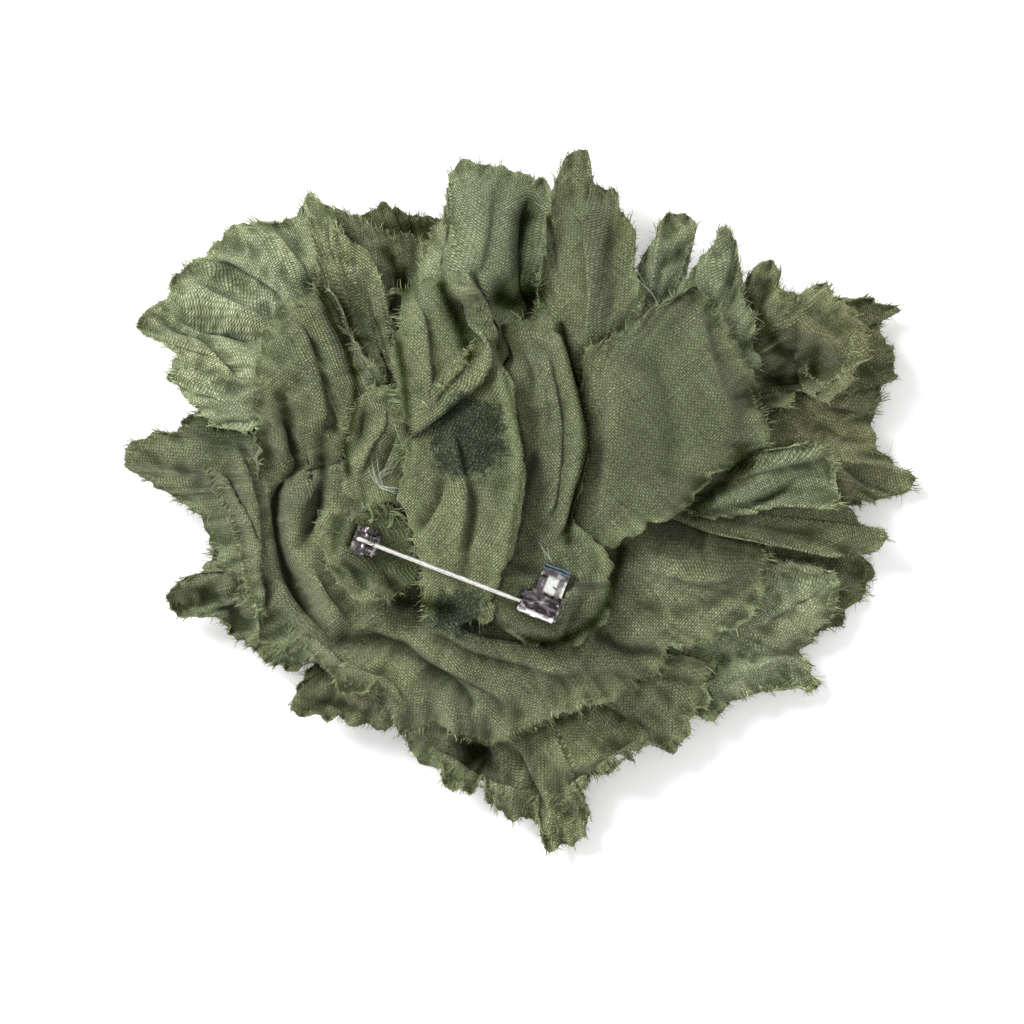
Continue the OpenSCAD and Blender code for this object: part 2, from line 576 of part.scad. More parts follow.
// The catch is a strip bent up past the stem and back over it, with a lip behind its mouth
module catch_strip() {
    riser = riser_in + catch_t / 2;
    bend = [for (i = [0:bend_steps]) let (a = 180 - i * (90 - exit_tilt) / bend_steps)
        [riser * cos(a), stem_z + riser * sin(a)]];
    hood_end = bend[bend_steps] + hood_w * [cos(exit_tilt), sin(exit_tilt)];
    foot = [-riser, catch_t / 2];
    lip = [lip_out - catch_t / 2, catch_t / 2];
    translate([bar_l - catch_end - catch_l, 0, 0]) intersection() {
        translate([-catch_t, 0, 0]) rotate([90, 0, 90]) linear_extrude(catch_l + 2 * catch_t)
            bent_outline(concat([foot], bend, [hood_end]), catch_t);
        translate([0, -riser - catch_t, -catch_t]) linear_extrude(hood_end.y + 2 * catch_t)
            hood_plan(hood_end.x + riser + 1.5 * catch_t);
    }
    translate([bar_l - catch_end - strip_l, 0, 0]) rotate([90, 0, 90])
        linear_extrude(strip_l) bent_outline([[lip.x, lip_h], lip, foot], catch_t);
}

module hinge_ear(side) {
    translate([rivet_in, side * ear_inner, 0]) rotate([90, 0, 0])
        translate([0, 0, side > 0 ? -ear_t : 0]) linear_extrude(ear_t) {
            translate([0, stem_z]) circle(r = ear_r, $fn = 48);
            translate([-ear_r, 0]) square([2 * ear_r, stem_z]);
        }
}

module hinge_rivet() {
    half = ear_inner + ear_t + rivet_head;
    translate([rivet_in, half, stem_z]) rotate([90, 0, 0])
        cylinder(h = 2 * half, d = rivet_d, $fn = 32);
    for (side = [-1, 1])
        translate([rivet_in, side * (ear_inner + ear_t), stem_z]) rotate([-90 * side, 0, 0])
            cylinder(h = rivet_head, d = rivet_head_d, $fn = 32);
}

module bar_base() {
    color("silver") on_bar() union() {
        translate([0, -bar_w / 2, 0]) cube([bar_l, bar_w, bar_t]);
        hinge_ear(-1);
        hinge_ear(1);
        hinge_rivet();
        catch_strip();
    }
}

module pin_stem() {
    wire_l = stem_reach - point_l;
    color("gainsboro") on_bar() translate([rivet_in, 0, stem_z]) union() {
        rotate([90, 0, 0]) rotate_extrude($fn = 48)
            translate([eye_r, 0]) circle(d = stem_d, $fn = 24);
        translate([eye_r, 0, 0]) rotate([0, 90, 0])
            cylinder(h = neck_l, d1 = neck_d, d2 = stem_d, $fn = 24);
        translate([eye_r + neck_l, 0, 0]) rotate([0, 90, 0])
            cylinder(h = wire_l - eye_r - neck_l, d = stem_d, $fn = 24);
        translate([wire_l, 0, 0]) rotate([0, 90, 0])
            cylinder(h = point_l, d1 = stem_d, d2 = point_d, $fn = 24);
    }
}

petal_broad();
petal_point();
petal_top();
petal_top_shade();
petal_far_top();
petal_pleat();
petal_upper_left();
petal_left_inner();
petal_sweep();
petal_lower_left();
petal_lower_small();
petal_bottom();
petal_right_low();
petal_right_under();
petal_right_back();
petal_right_mid();
petal_right_fold();
petal_small_tip();
petal_pale_curl();
petal_roll();
gather_left();
gather_middle();
small_roll();
hinge_patch();
front_ring();
front_ruffle();
front_bud();
bar_base();
pin_stem();
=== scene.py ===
# Looks of the flower lapel pin: raw-edged gauze petals, lying face down, and a steel bar pin.
# The tables of folds, fans and strips repeat those of the CAD source, but for one fold that the
# photo doesn't show. Places are shares or thousandths of the layout width, across from the left and
# down from the top, and heights are layers of cloth or tenths of them. Lengths are in millimetres.
import math

import bmesh
import bpy
import numpy as np
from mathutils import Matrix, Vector


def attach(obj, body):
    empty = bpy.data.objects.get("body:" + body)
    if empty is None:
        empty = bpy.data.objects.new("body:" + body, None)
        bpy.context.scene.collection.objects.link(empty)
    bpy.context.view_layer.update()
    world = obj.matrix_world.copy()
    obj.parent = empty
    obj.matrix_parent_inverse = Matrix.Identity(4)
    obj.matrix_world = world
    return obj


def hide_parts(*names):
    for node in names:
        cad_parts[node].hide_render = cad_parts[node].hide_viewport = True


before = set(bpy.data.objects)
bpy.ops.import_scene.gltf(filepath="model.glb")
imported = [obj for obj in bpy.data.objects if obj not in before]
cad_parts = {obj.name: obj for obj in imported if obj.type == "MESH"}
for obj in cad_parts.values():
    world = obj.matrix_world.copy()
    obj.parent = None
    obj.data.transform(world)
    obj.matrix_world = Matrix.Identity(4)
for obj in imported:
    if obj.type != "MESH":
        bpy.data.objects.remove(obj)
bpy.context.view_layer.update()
MM = 0.001

# Sizes shared with the CAD source
FLOWER_W = 109.3
LAYOUT_W = FLOWER_W / 0.794
MIDDLE = (0.520, 0.499)
HUB = (0.470, 0.500)
HUB_REACH = (0.400, 0.350)
PLATEAU = 0.35
RIM_LINE = 1.10
TOP_LAYER = 11
LOW_LAYER = 4
BACK_H = 22
HUB_PITCH = 1.5
RIM_LIFT = 1
RIM_PITCH = 2
FOLD_H = 2.2
FAN_INNER = 0.07
RIB_POWER = 1.7
SAG_POWER = 0.4
RUFFLE_WAVE = 1.5
FRONT_HOLE = 3.5
FRONT_MIDDLE = (HUB[0] + 0.030, HUB[1])
RIVET_PLACE = (0.366, 0.541)
RIVET_IN = 1.7
BAR_TURN = math.radians(21)
BAR_L = 30
BAR_W = 4.6
BAR_T = 0.8
BAR_Z = 21.35

# Cloth
CLOTH_T = 0.32
CELL = 0.45
CLEAR = 0.5
FLAT_LEAST = 10.2
FLAT_SHARE = 0.95
AREA_LEAST = 0.35
FAR = 99
CREASE_END = 4
ROLL_W = 1.7
ROLL_ROOM = 1.6
PAD_MOST = 5
PAD_INNER, PAD_OUTER = 0.5, 0.85
PAD_RIM, PAD_EASE = 0.8, 2.2
CREASE_RISE = 1.1
CREASE_LEAN = 0.75
# Hue that tone and painted shade take on, as a power of each channel: darker places turn greener, lighter
# ones bluer
SHADE_HUE = (1.0, 0.95, 1.12)

# Jags of a raw edge: how far they stand out, and how long each wave of them is
JAGS = ((1.2, 5.3), (1.0, 2.3), (0.7, 0.95))

# Wrinkles of sheets. Pleats: height, and waves along and out. Crushed spots: height, wave and step
# of the seed. Frills: height, waves along and out, and step of the seed
PLEAT_WIDE, PLEAT_NARROW = (1.1, 6.5, 34), (0.4, 3.1, 17)
PLEAT_LEVEL = 0.4
PLAIN_PLEATS = 0.45
CRUSH_LEVEL = 0.3
CRUSHES = ((0.95, 9, 23), (0.55, 4.5, 29))
FRILLS = ((1, 4.6, 9, 41), (0.5, 1.9, 6, 43))

# Painted shade in creases and painted light on crests: how often the heights are blurred, the height that
# counts in full, and its share
CREASE_SHADES = ((6, 0.16, 0.55), (40, 0.8, 0.45))
CREASE_SHADE_MIDDLE, CREST_LIGHT_UP, CREASE_SHADE_DOWN = 1.02, 0.20, 0.56

# Loose threads: their pitch and tone, the share that is fuzz, and lengths and radii of both kinds
FRAY_PITCH = 0.19
FRAY_TONE = 1.4
FUZZ_SHARE = 0.5
FUZZ_L = (0.3, 0.8)
FUZZ_R = 0.045
COMB_L = 0.85
COMB_R = (0.05, 0.08)
FRAY_L = (0.3, 2.0)
TAPER = (1, 0.9, 0.45)

# Rows of loose threads on a fold: how far back each stands, their height, and their slope inwards
FOLD_BACKS = (-0.1, 0.2)
SWEEP_BACKS = (-0.2, 0.2, 0.6)
FOLD_TOP, FOLD_IN, FOLD_DIP = (0, 0, 0.25), 0.4, (0, 0, 0.14)
ROLL_TOP, ROLL_DIP = (0, 0, 0.16), (0, 0, 0.5)

# Light and view: the view is this wide at this height
WORLD_LIGHT = 0.75
KEY_POWER = 30
TABLE_GLOW = 0.25
CAMERA_AT = (-1.10, -1.79)
CAMERA_FAR = 2.0
SENSOR_W = 36
VIEW_W = 140.96
VIEW_H = 14

# Each fold of the whole stack: its line and its width in thousandths of the layout, and its rise
FOLDS = [
    (282, 395, 292, 440, 298, 468, 10, -0.7), (276, 486, 270, 535, 304, 609, 10, -0.9),
    (303, 480, 297, 545, 335, 620, 13, 0.8), (262, 420, 245, 500, 262, 560, 16, 0.6),
    (326, 430, 321, 500, 300, 548, 9, -0.6), (322, 290, 337, 325, 356, 370, 10, -1.0),
    (258, 400, 262, 430, 268, 450, 7, -0.6), (345, 640, 418, 657, 470, 705, 10, -0.7),
    (320, 650, 390, 695, 470, 712, 17, 0.7), (420, 640, 530, 668, 640, 640, 16, 0.6),
    (598, 636, 625, 650, 660, 652, 9, -0.6), (525, 225, 520, 270, 500, 300, 13, -0.8),
    (470, 190, 465, 240, 450, 290, 20, 0.6), (402, 300, 410, 270, 418, 245, 18, -0.8),
    (575, 180, 580, 260, 590, 340, 22, 0.6), (620, 420, 690, 390, 745, 380, 40, 0.5),
    (682, 512, 712, 488, 745, 462, 16, -0.9), (700, 530, 760, 545, 810, 540, 14, -0.5),
    (645, 565, 690, 578, 745, 565, 28, 0.6), (755, 395, 790, 375, 815, 365, 18, -1.3),
    (762, 330, 800, 318, 838, 345, 12, 0.9), (700, 690, 760, 665, 815, 610, 14, 0.6),
    (480, 750, 470, 765, 478, 780, 18, -1.0), (560, 750, 590, 770, 600, 780, 14, 0.5),
]

# Each crease: its sheets, rise, width on its left and on its right as its line runs, and the line in
# thousandths of the layout. It leans over to its narrow side. A sheet named with ! has loose
# threads along it. The names of sheets go without "petal_" in all these tables.
CREASES = [
    ("upper_left", -1.6, 1.0, 1.6, 206, 258, 245, 283, 290, 311),
    ("upper_left", -1.5, 1.2, 1.0, 163, 300, 215, 320, 272, 345),
    ("upper_left", -1.5, 1.2, 1.0, 155, 322, 206, 333, 256, 386),
    ("upper_left", 1.1, 0.6, 1.6, 178, 282, 222, 305, 276, 330),
    ("upper_left", 1.0, 0.6, 1.5, 260, 222, 285, 255, 312, 290),
    ("upper_left", -1.1, 1.2, 1.2, 284, 214, 302, 245, 320, 280),
    ("upper_left", -1.2, 1.2, 1.2, 176, 358, 215, 372, 250, 402),
    ("upper_left", 1.0, 1.5, 0.6, 182, 388, 215, 390, 248, 408),
    ("upper_left left_inner", -2.0, 0.8, 0.8, 255, 325, 260, 338, 262, 350),
    ("left_inner pleat", -1.5, 0.9, 1.2, 318, 280, 333, 315, 345, 350, 352, 370),
    ("left_inner pleat", 1.8, 0.5, 1.8, 350, 335, 367, 352, 374, 369, 384, 405),
    ("left_inner", 1.0, 0.6, 1.4, 290, 315, 305, 350, 318, 400, 322, 440),
    ("left_inner", -0.9, 1.0, 1.0, 302, 322, 322, 365, 334, 415, 338, 450),
    ("pleat", -1.2, 0.9, 0.9, 345, 232, 360, 270, 372, 310, 384, 350),
    ("pleat", 1.3, 1.5, 0.5, 330, 214, 344, 255, 358, 300, 372, 335),
    ("pleat top_shade", -1.6, 1.0, 1.0, 390, 268, 400, 285, 408, 300),
    ("top", 0.7, 0.7, 1.4, 447, 200, 440, 240, 428, 290),
    ("top", -0.8, 1.4, 1.2, 460, 192, 456, 240, 448, 292),
    ("top", 0.5, 0.7, 2.2, 486, 180, 482, 230, 470, 288),
    ("top", -1.8, 2.0, 1.2, 535, 190, 530, 240, 531, 280, 532, 325),
    ("point", -1.0, 1.3, 1.3, 572, 168, 566, 215, 552, 270, 546, 320),
    ("point", 1.1, 1.6, 0.7, 588, 190, 592, 240, 596, 300, 590, 350),
    ("point", -0.8, 1.3, 1.3, 614, 215, 612, 260, 610, 320),
    ("gather_left", -2.2, 0.7, 1.1, 447, 292, 456, 318, 467, 345, 472, 366),
    ("gather_left gather_middle", -1.6, 0.8, 1.0, 468, 290, 487, 326, 506, 359, 508, 378),
    ("gather_left", 1.7, 0.5, 1.0, 450, 283, 470, 306, 486, 328, 489, 364),
    ("gather_left", 1.7, 0.5, 2.2, 470, 322, 480, 345, 480, 368, 468, 382, 443, 402, 418, 422, 402, 444),
    ("gather_left gather_left!", 1.1, 0.5, 0.9, 474, 343, 462, 360, 446, 377, 430, 397, 419, 416),
    ("gather_left", 1.0, 0.6, 1.2, 412, 296, 420, 330, 424, 370, 428, 405),
    ("gather_left", -0.5, 0.9, 0.9, 424, 298, 434, 335, 440, 370, 444, 400),
    ("gather_middle gather_middle!", 1.4, 0.8, 0.5, 489, 286, 492, 314, 501, 329, 520, 334),
    ("gather_middle top", -1.6, 1.3, 1.3, 509, 292, 512, 308, 514, 322),
    ("gather_middle top", -1.4, 0.9, 0.9, 531, 284, 535, 302, 537, 322),
    ("gather_left", -1.2, 0.7, 0.9, 442, 470, 436, 495, 424, 518, 412, 540),
    ("gather_left", 1.5, 0.5, 1.7, 500, 361, 505, 384, 508, 420, 514, 455, 516, 482, 508, 535, 495, 580),
    ("gather_left", -0.9, 1.0, 1.0, 470, 470, 474, 510, 468, 550, 462, 600),
    ("gather_left", 0.9, 0.7, 1.3, 446, 420, 452, 455, 460, 500, 452, 560),
    ("gather_middle", -1.0, 0.8, 0.8, 535, 440, 532, 462, 520, 506, 508, 549),
    ("gather_middle", 0.7, 0.5, 1.4, 540, 345, 548, 385, 556, 430, 552, 480, 540, 530),
    ("gather_middle point", -0.8, 0.7, 0.7, 561, 329, 571, 371, 581, 412, 587, 439,
     582, 467, 572, 495, 560, 545),
    ("gather_middle", 1.1, 0.5, 1.3, 554, 329, 564, 371, 574, 412, 580, 439, 575, 467, 565, 495, 553, 545),
    ("gather_middle", -0.8, 0.9, 0.9, 560, 552, 556, 580, 540, 612),
    ("gather_middle", 0.6, 0.9, 0.6, 585, 553, 582, 580, 566, 612),
    ("broad", -0.8, 2.0, 2.0, 640, 345, 665, 395, 672, 450, 660, 500),
    ("broad", 0.9, 1.2, 2.4, 692, 298, 700, 345, 718, 400, 735, 440),
    ("broad", 0.7, 2.2, 1.2, 612, 352, 618, 410, 612, 470, 606, 530),
    ("small_tip", -1.4, 1.0, 1.0, 692, 232, 680, 255, 664, 275),
    ("small_tip", 1.0, 0.9, 0.9, 664, 232, 655, 262, 646, 300),
    ("pale_curl", 1.0, 0.8, 1.2, 728, 232, 722, 265, 712, 300),
    ("pale_curl", -1.0, 1.0, 1.0, 738, 250, 734, 285, 730, 320),
    ("roll roll!", 2.4, 0.8, 0.9, 780, 290, 812, 304, 852, 332, 850, 364, 831, 382, 812, 379, 803, 360),
    ("roll", -2.2, 2.0, 2.4, 766, 348, 785, 362, 803, 378),
    ("right_mid", -1.2, 0.8, 0.8, 695, 518, 747, 508, 785, 490, 800, 474),
    ("right_mid", 0.9, 1.4, 0.7, 700, 480, 750, 468, 800, 455, 832, 452),
    ("right_fold", -0.8, 1.2, 1.2, 700, 525, 760, 530, 850, 532),
    ("right_back", -1.0, 1.3, 1.3, 800, 310, 822, 345, 880, 365),
    ("right_back", 1.1, 1.5, 0.8, 812, 395, 850, 400, 880, 410),
    ("right_back", -1.1, 1.2, 1.2, 800, 420, 850, 440, 905, 472),
    ("right_back", 0.9, 0.8, 1.4, 790, 440, 830, 470, 870, 495),
    ("sweep sweep!", 1.8, 0.5, 2.3, 205, 462, 213, 476, 230, 510, 241, 540, 250, 580, 262, 622),
    ("sweep left_inner", -0.6, 0.8, 0.8, 284, 412, 289, 450, 296, 466, 278, 486, 270, 507, 277, 545,
     284, 579, 304, 609, 334, 634),
    ("sweep left_inner", 0.9, 0.5, 1.5, 277, 412, 282, 450, 287, 466, 271, 484, 263, 507, 269, 545,
     277, 582, 297, 614, 327, 641),
    ("sweep", -0.6, 0.9, 0.9, 315, 475, 320, 492, 313, 514, 299, 545),
    ("sweep", 1.0, 0.6, 1.3, 305, 560, 322, 600, 352, 630),
    ("sweep", -1.2, 1.0, 1.2, 350, 632, 385, 645, 418, 657, 455, 689, 478, 714),
    ("sweep sweep!", 1.8, 0.6, 1.8, 290, 632, 325, 661, 340, 674, 385, 691, 405, 709),
    ("sweep", 1.0, 1.6, 0.7, 400, 640, 450, 664, 500, 690, 520, 715),
    ("sweep", -1.0, 1.0, 1.0, 590, 636, 625, 648, 662, 652),
    ("sweep", 0.9, 1.3, 0.8, 515, 650, 545, 664, 590, 668),
    ("sweep", -0.8, 1.5, 1.5, 620, 600, 680, 612, 740, 590),
    ("sweep", 0.9, 1.8, 0.9, 650, 560, 700, 575, 755, 565),
    ("sweep", -0.9, 1.2, 1.2, 135, 450, 180, 470, 215, 482),
    ("lower_left", -1.1, 1.0, 1.0, 180, 590, 215, 600, 262, 640),
    ("lower_left", 0.9, 0.7, 1.2, 196, 578, 225, 585, 262, 610),
    ("lower_small", -1.0, 0.9, 0.9, 300, 700, 340, 706, 385, 722),
    ("bottom", -2.2, 1.4, 1.6, 455, 736, 475, 756, 500, 776),
    ("bottom bottom!", 1.7, 0.6, 1.8, 428, 748, 455, 774, 490, 793, 520, 800, 540, 806),
    ("bottom", -1.4, 0.7, 0.9, 508, 740, 520, 768, 530, 790, 546, 812),
    ("bottom bottom!", 1.3, 0.8, 1.6, 560, 806, 590, 782, 625, 760, 650, 738),
    ("bottom", -1.2, 0.8, 1.0, 580, 702, 603, 712, 628, 726, 655, 728),
    ("bottom", -1.4, 0.8, 0.8, 552, 800, 566, 815, 584, 818),
    ("bottom bottom!", 1.5, 0.7, 0.9, 548, 842, 556, 820, 572, 806, 590, 806),
    ("right_low", -1.0, 1.4, 1.4, 700, 660, 760, 655, 820, 640),
    ("right_low", 1.1, 0.9, 1.6, 720, 690, 770, 670, 812, 665),
    ("right_low", 0.9, 1.5, 0.8, 740, 630, 790, 600, 832, 580),
    ("gather_left top", 1.2, 0.5, 0.9, 462, 268, 470, 290, 482, 312, 490, 335),
    ("gather_left top", -1.4, 0.6, 0.6, 470, 262, 479, 288, 492, 314),
    ("gather_middle top", 1.1, 0.5, 0.8, 515, 285, 520, 305, 523, 328),
    ("gather_middle", -1.0, 0.6, 0.6, 520, 345, 530, 372, 535, 400),
    ("gather_middle", 0.5, 0.5, 0.9, 524, 350, 536, 380, 543, 415, 540, 450),
    ("sweep", -0.9, 0.6, 0.7, 238, 440, 252, 470, 262, 505, 266, 540),
    ("sweep", 1.0, 0.5, 1.2, 228, 440, 243, 475, 252, 510, 256, 545, 264, 580),
    ("left_inner sweep", -1.0, 0.6, 0.7, 300, 440, 306, 475, 312, 500, 308, 540),
    ("left_inner sweep", 1.2, 0.5, 0.9, 292, 420, 300, 452, 306, 482, 303, 515),
    ("small_roll", -1.2, 0.6, 0.6, 366, 400, 362, 430, 352, 462),
    ("small_roll", 1.3, 0.5, 0.8, 384, 398, 378, 425, 362, 450, 356, 482),
    ("small_roll", -1.1, 0.6, 0.7, 398, 420, 388, 445, 378, 470, 372, 495),
    ("sweep", 1.0, 0.6, 1.2, 430, 615, 470, 640, 520, 650, 560, 655),
    ("sweep", -0.9, 0.7, 1.0, 425, 630, 465, 655, 510, 668, 548, 676),
    ("hinge_patch", -1.0, 0.8, 0.8, 330, 545, 350, 560, 372, 600),
    ("hinge_patch", 1.1, 0.6, 1.2, 342, 530, 365, 560, 392, 596),
    ("hinge_patch", -1.0, 0.8, 0.8, 380, 548, 396, 570, 402, 600),
]

# Each fan: name, root, layer at the root, sag, material slot, grain in degrees, and its ribs, each
# the place of its tip in thousandths of the layout and its rise in tenths of a layer
FANS = [
    ("broad", (0.572, 0.450), 9, 0, "gauze_deep", 38, [
        (584, 355, 1), (600, 341, 0), (622, 332, 0), (645, 315, 1), (656, 304, 2), (676, 297, 0),
        (693, 293, 2), (715, 310, 0), (728, 325, 1), (742, 351, -1), (755, 381, 1), (763, 410, 0),
        (768, 440, 1), (745, 457, 2), (702, 481, 3), (681, 512, 2), (642, 530, 1), (613, 544, 0),
        (590, 552, 0), (566, 550, -1)]),
    ("left_inner", (0.395, 0.450), 9, 0, "gauze_mid", 24, [
        (262, 480, 0), (258, 440, 0), (256, 405, 1), (260, 375, 1), (262, 343, 2), (271, 322, 3),
        (284, 308, 1), (300, 300, 3), (316, 283, 3), (324, 292, 2), (341, 325, 1), (356, 352, 0),
        (372, 380, 0)]),
    ("point", (0.588, 0.400), 8, 0, "gauze_mid", 40, [
        (536, 335, 0), (539, 290, 1), (546, 235, 3), (552, 195, 2), (560, 172, 1), (573, 150, 0),
        (585, 153, 0), (591, 165, 0), (593, 182, 0), (614, 190, -1), (622, 210, -3), (634, 228, -4),
        (636, 245, -3), (634, 262, -1), (639, 285, 0), (652, 315, 0)]),
    ("pleat", (0.405, 0.420), 8, 0, "gauze_mid", 52, [
        (330, 330, -3), (321, 290, -3), (316, 255, 0), (309, 222, 3), (312, 199, 6), (327, 209, 8),
        (346, 232, 9), (365, 251, 8), (378, 274, 7), (387, 300, 5), (394, 330, 3), (399, 360, 0)]),
    ("right_mid", (0.630, 0.490), 8, 0.1, "gauze_pale", 30, [
        (728, 438, 1), (756, 446, -2), (782, 447, 0), (806, 442, 2), (829, 447, 2), (835, 469, 0),
        (836, 490, -1), (838, 508, 2), (818, 508, 0), (798, 507, 3), (779, 508, 3), (747, 514, 2),
        (715, 521, 0)]),
    ("pale_curl", (0.690, 0.390), 8, 0.2, "gauze_pale", 45, [
        (674, 300, -2), (692, 268, 0), (714, 244, 3), (719, 231, 5), (731, 228, 5), (739, 243, 6),
        (742, 271, 5), (748, 300, 4), (754, 335, 2), (762, 365, 0)]),
    ("top", (0.490, 0.410), 7, 0, "gauze_pale", 36, [
        (408, 305, -1), (420, 262, -2), (434, 226, 0), (444, 207, 1), (447, 186, 2), (452, 169, 3),
        (468, 165, 2), (488, 166, 2), (503, 169, 0), (516, 173, -1), (535, 179, -4), (551, 189, -5),
        (553, 220, -5), (550, 262, -3), (545, 300, 0)]),
    ("upper_left", (0.385, 0.405), 7, 0.55, "gauze_pale", 28, [
        (335, 240, 0), (314, 196, 3), (296, 216, 1), (272, 219, 2), (243, 223, 0), (222, 238, 3),
        (208, 251, 1), (193, 260, -3), (180, 276, 3), (168, 292, 1), (144, 311, -3), (140, 330, 0),
        (166, 345, 4), (175, 361, 3), (167, 375, 1), (186, 397, 1), (200, 414, 3), (228, 432, 4)]),
    ("right_fold", (0.630, 0.500), 7, 0.9, "gauze_mid", 22, [
        (825, 486, 0), (843, 503, 0), (857, 512, 1), (862, 525, -1), (882, 530, 2), (885, 543, 3),
        (868, 553, 0), (835, 557, 1), (800, 551, 2), (765, 544, 1), (730, 537, 0), (705, 531, 0)]),
    ("small_tip", (0.640, 0.390), 7, 0.7, "gauze_pale", 60, [
        (634, 300, 0), (640, 265, 0), (650, 243, 2), (658, 232, 1), (663, 220, 4), (678, 214, 2),
        (696, 221, 4), (694, 240, 2), (689, 262, -3), (682, 290, -2)]),
    ("roll", (0.715, 0.395), 7, 0.2, "gauze_olive", 35, [
        (738, 300, 2), (750, 274, 3), (765, 264, 4), (777, 274, 2), (784, 293, 4), (812, 302, 6),
        (832, 315, 9), (852, 333, 8), (854, 353, 5), (841, 375, 4), (820, 385, 3), (806, 390, 1),
        (795, 400, -1), (785, 410, 0)]),
    ("top_shade", (0.430, 0.370), 6, 0.5, "gauze_deep", 12, [
        (322, 225, -2), (314, 200, 3), (330, 208, 2), (357, 217, 1), (377, 225, 0), (396, 233, 0),
        (427, 241, 1), (436, 262, -3), (440, 290, 0)]),
    ("sweep", (0.470, 0.500), 6, 0, "gauze_deep", 40, [
        (228, 402, -2), (205, 411, -2), (172, 431, 0), (150, 432, 3), (123, 455, 5), (148, 481, 2),
        (179, 500, 1), (199, 521, 3), (213, 547, 1), (228, 578, 3), (246, 607, 0), (262, 636, 4),
        (298, 660, 2), (335, 681, 5), (375, 703, 2), (405, 731, 4), (430, 729, 2), (455, 734, 6),
        (491, 742, 3), (530, 727, 6), (570, 712, 4), (610, 697, 6), (650, 678, 2), (671, 653, 5),
        (703, 642, 3), (738, 622, 4), (760, 602, 2), (770, 575, 3), (764, 550, 0), (772, 520, -3),
        (770, 490, -5)]),
    ("right_back", (0.640, 0.430), 6, 1.0, "gauze_olive", 32, [
        (775, 302, 0), (800, 299, 1), (822, 298, -1), (851, 296, 2), (879, 302, 0), (903, 309, 2),
        (887, 317, -1), (886, 333, 0), (895, 348, 2), (895, 361, 0), (898, 377, 2), (886, 386, -1),
        (882, 402, 0), (876, 430, -2), (895, 465, 2), (917, 473, 3), (905, 491, -2), (869, 501, 0),
        (859, 511, 0)]),
    ("far_top", (0.430, 0.290), 4.6, 1.5, "gauze_olive", 20, [
        (352, 228, 0), (356, 213, 0), (371, 208, 1), (386, 204, 1), (394, 211, 0), (414, 215, 0),
        (437, 217, 0), (455, 240, 0)]),
    ("lower_left", (0.400, 0.540), 5, 1.5, "gauze_mid", 55, [
        (226, 530, 0), (213, 549, 1), (205, 571, 3), (184, 578, -2), (170, 597, 2), (176, 612, -1),
        (206, 619, 3), (239, 644, 0), (266, 660, 1), (290, 669, 0), (305, 670, 0)]),
    ("lower_small", (0.410, 0.590), 5, 0.8, "gauze_olive", 38, [
        (312, 666, 0), (304, 676, 2), (302, 688, -2), (294, 697, 1), (293, 707, 2), (320, 718, -2),
        (355, 724, 2), (388, 729, 0), (400, 735, 0)]),
    ("bottom", (0.500, 0.610), 5, 0.5, "gauze_mid", 48, [
        (405, 738, 0), (413, 749, 2), (427, 770, 3), (446, 785, 1), (473, 798, -3), (508, 818, 0),
        (538, 822, 2), (545, 848, 0), (570, 848, 0), (583, 840, 1), (590, 819, 4), (586, 797, 0),
        (607, 781, 4), (625, 767, 2), (654, 750, 3), (674, 751, 0), (683, 738, 2), (690, 718, 0),
        (704, 694, -1), (712, 664, -1)]),
    ("right_low", (0.600, 0.560), 5, 0.2, "gauze_pale", 34, [
        (668, 700, -4), (682, 712, -2), (697, 716, 0), (718, 716, 2), (736, 705, 3), (785, 687, 1),
        (805, 691, 1), (823, 691, 2), (812, 671, -1), (807, 656, 2), (812, 642, 3), (830, 616, 6),
        (836, 590, 7), (828, 562, 5)]),
    ("right_under", (0.640, 0.540), 4, 0.3, "gauze_olive", 50, [
        (805, 649, 0), (814, 642, 1), (836, 627, 2), (854, 612, 0), (869, 589, 2), (878, 569, 0),
        (863, 557, 2), (840, 548, 0)]),
]

# Each strip: name, material slot, grain in degrees, and its rows, each with both its ends in
# thousandths of the layout and their layers in tenths
STRIPS = [
    ("gather_left", "gauze_mid", 38, [
        (396, 290, 458, 272, 106, 102), (400, 316, 480, 298, 106, 104), (397, 345, 496, 330, 107, 108),
        (392, 375, 504, 366, 108, 112), (403, 407, 508, 405, 110, 114), (404, 447, 518, 447, 112, 115),
        (401, 494, 519, 494, 114, 115), (412, 530, 513, 535, 118, 118), (424, 560, 506, 560, 119, 118),
        (424, 585, 499, 582, 119, 118), (424, 608, 495, 604, 115, 118), (432, 622, 490, 622, 110, 112)]),
    ("gather_middle", "gauze_deep", 52, [
        (498, 328, 545, 316, 101, 100), (502, 348, 561, 340, 100, 101), (502, 368, 572, 370, 100, 103),
        (510, 407, 581, 407, 99, 103), (512, 447, 585, 447, 100, 102), (508, 494, 577, 494, 100, 102),
        (500, 530, 574, 523, 99, 101), (492, 555, 604, 545, 99, 99), (490, 580, 610, 570, 99, 99),
        (491, 606, 611, 598, 99, 98), (501, 630, 602, 622, 98, 98), (524, 645, 580, 642, 97, 97)]),
    ("small_roll", "gauze_mid", 25, [
        (370, 385, 400, 388, 99, 100), (354, 410, 406, 410, 99, 101), (346, 440, 410, 445, 99, 102),
        (344, 470, 408, 475, 99, 101), (350, 500, 404, 504, 98, 99)]),
    ("hinge_patch", "gauze_mid", 60, [
        (334, 510, 392, 506, 101, 99), (318, 520, 404, 522, 102, 99), (321, 545, 414, 545, 101, 100),
        (326, 568, 418, 565, 100, 100), (342, 588, 412, 584, 102, 100), (364, 604, 394, 603, 102, 101)]),
]

# Each ruffle of the front: name, radius, layer at the top, waves, scallop, material slot
RUFFLES = [
    ("front_ring", 34, 5, 8, 0.12, "gauze_deep"),
    ("front_ruffle", 22, 4, 7, 0.10, "gauze_mid"),
    ("front_bud", 10, 3, 5, 0.10, "gauze_pale"),
]

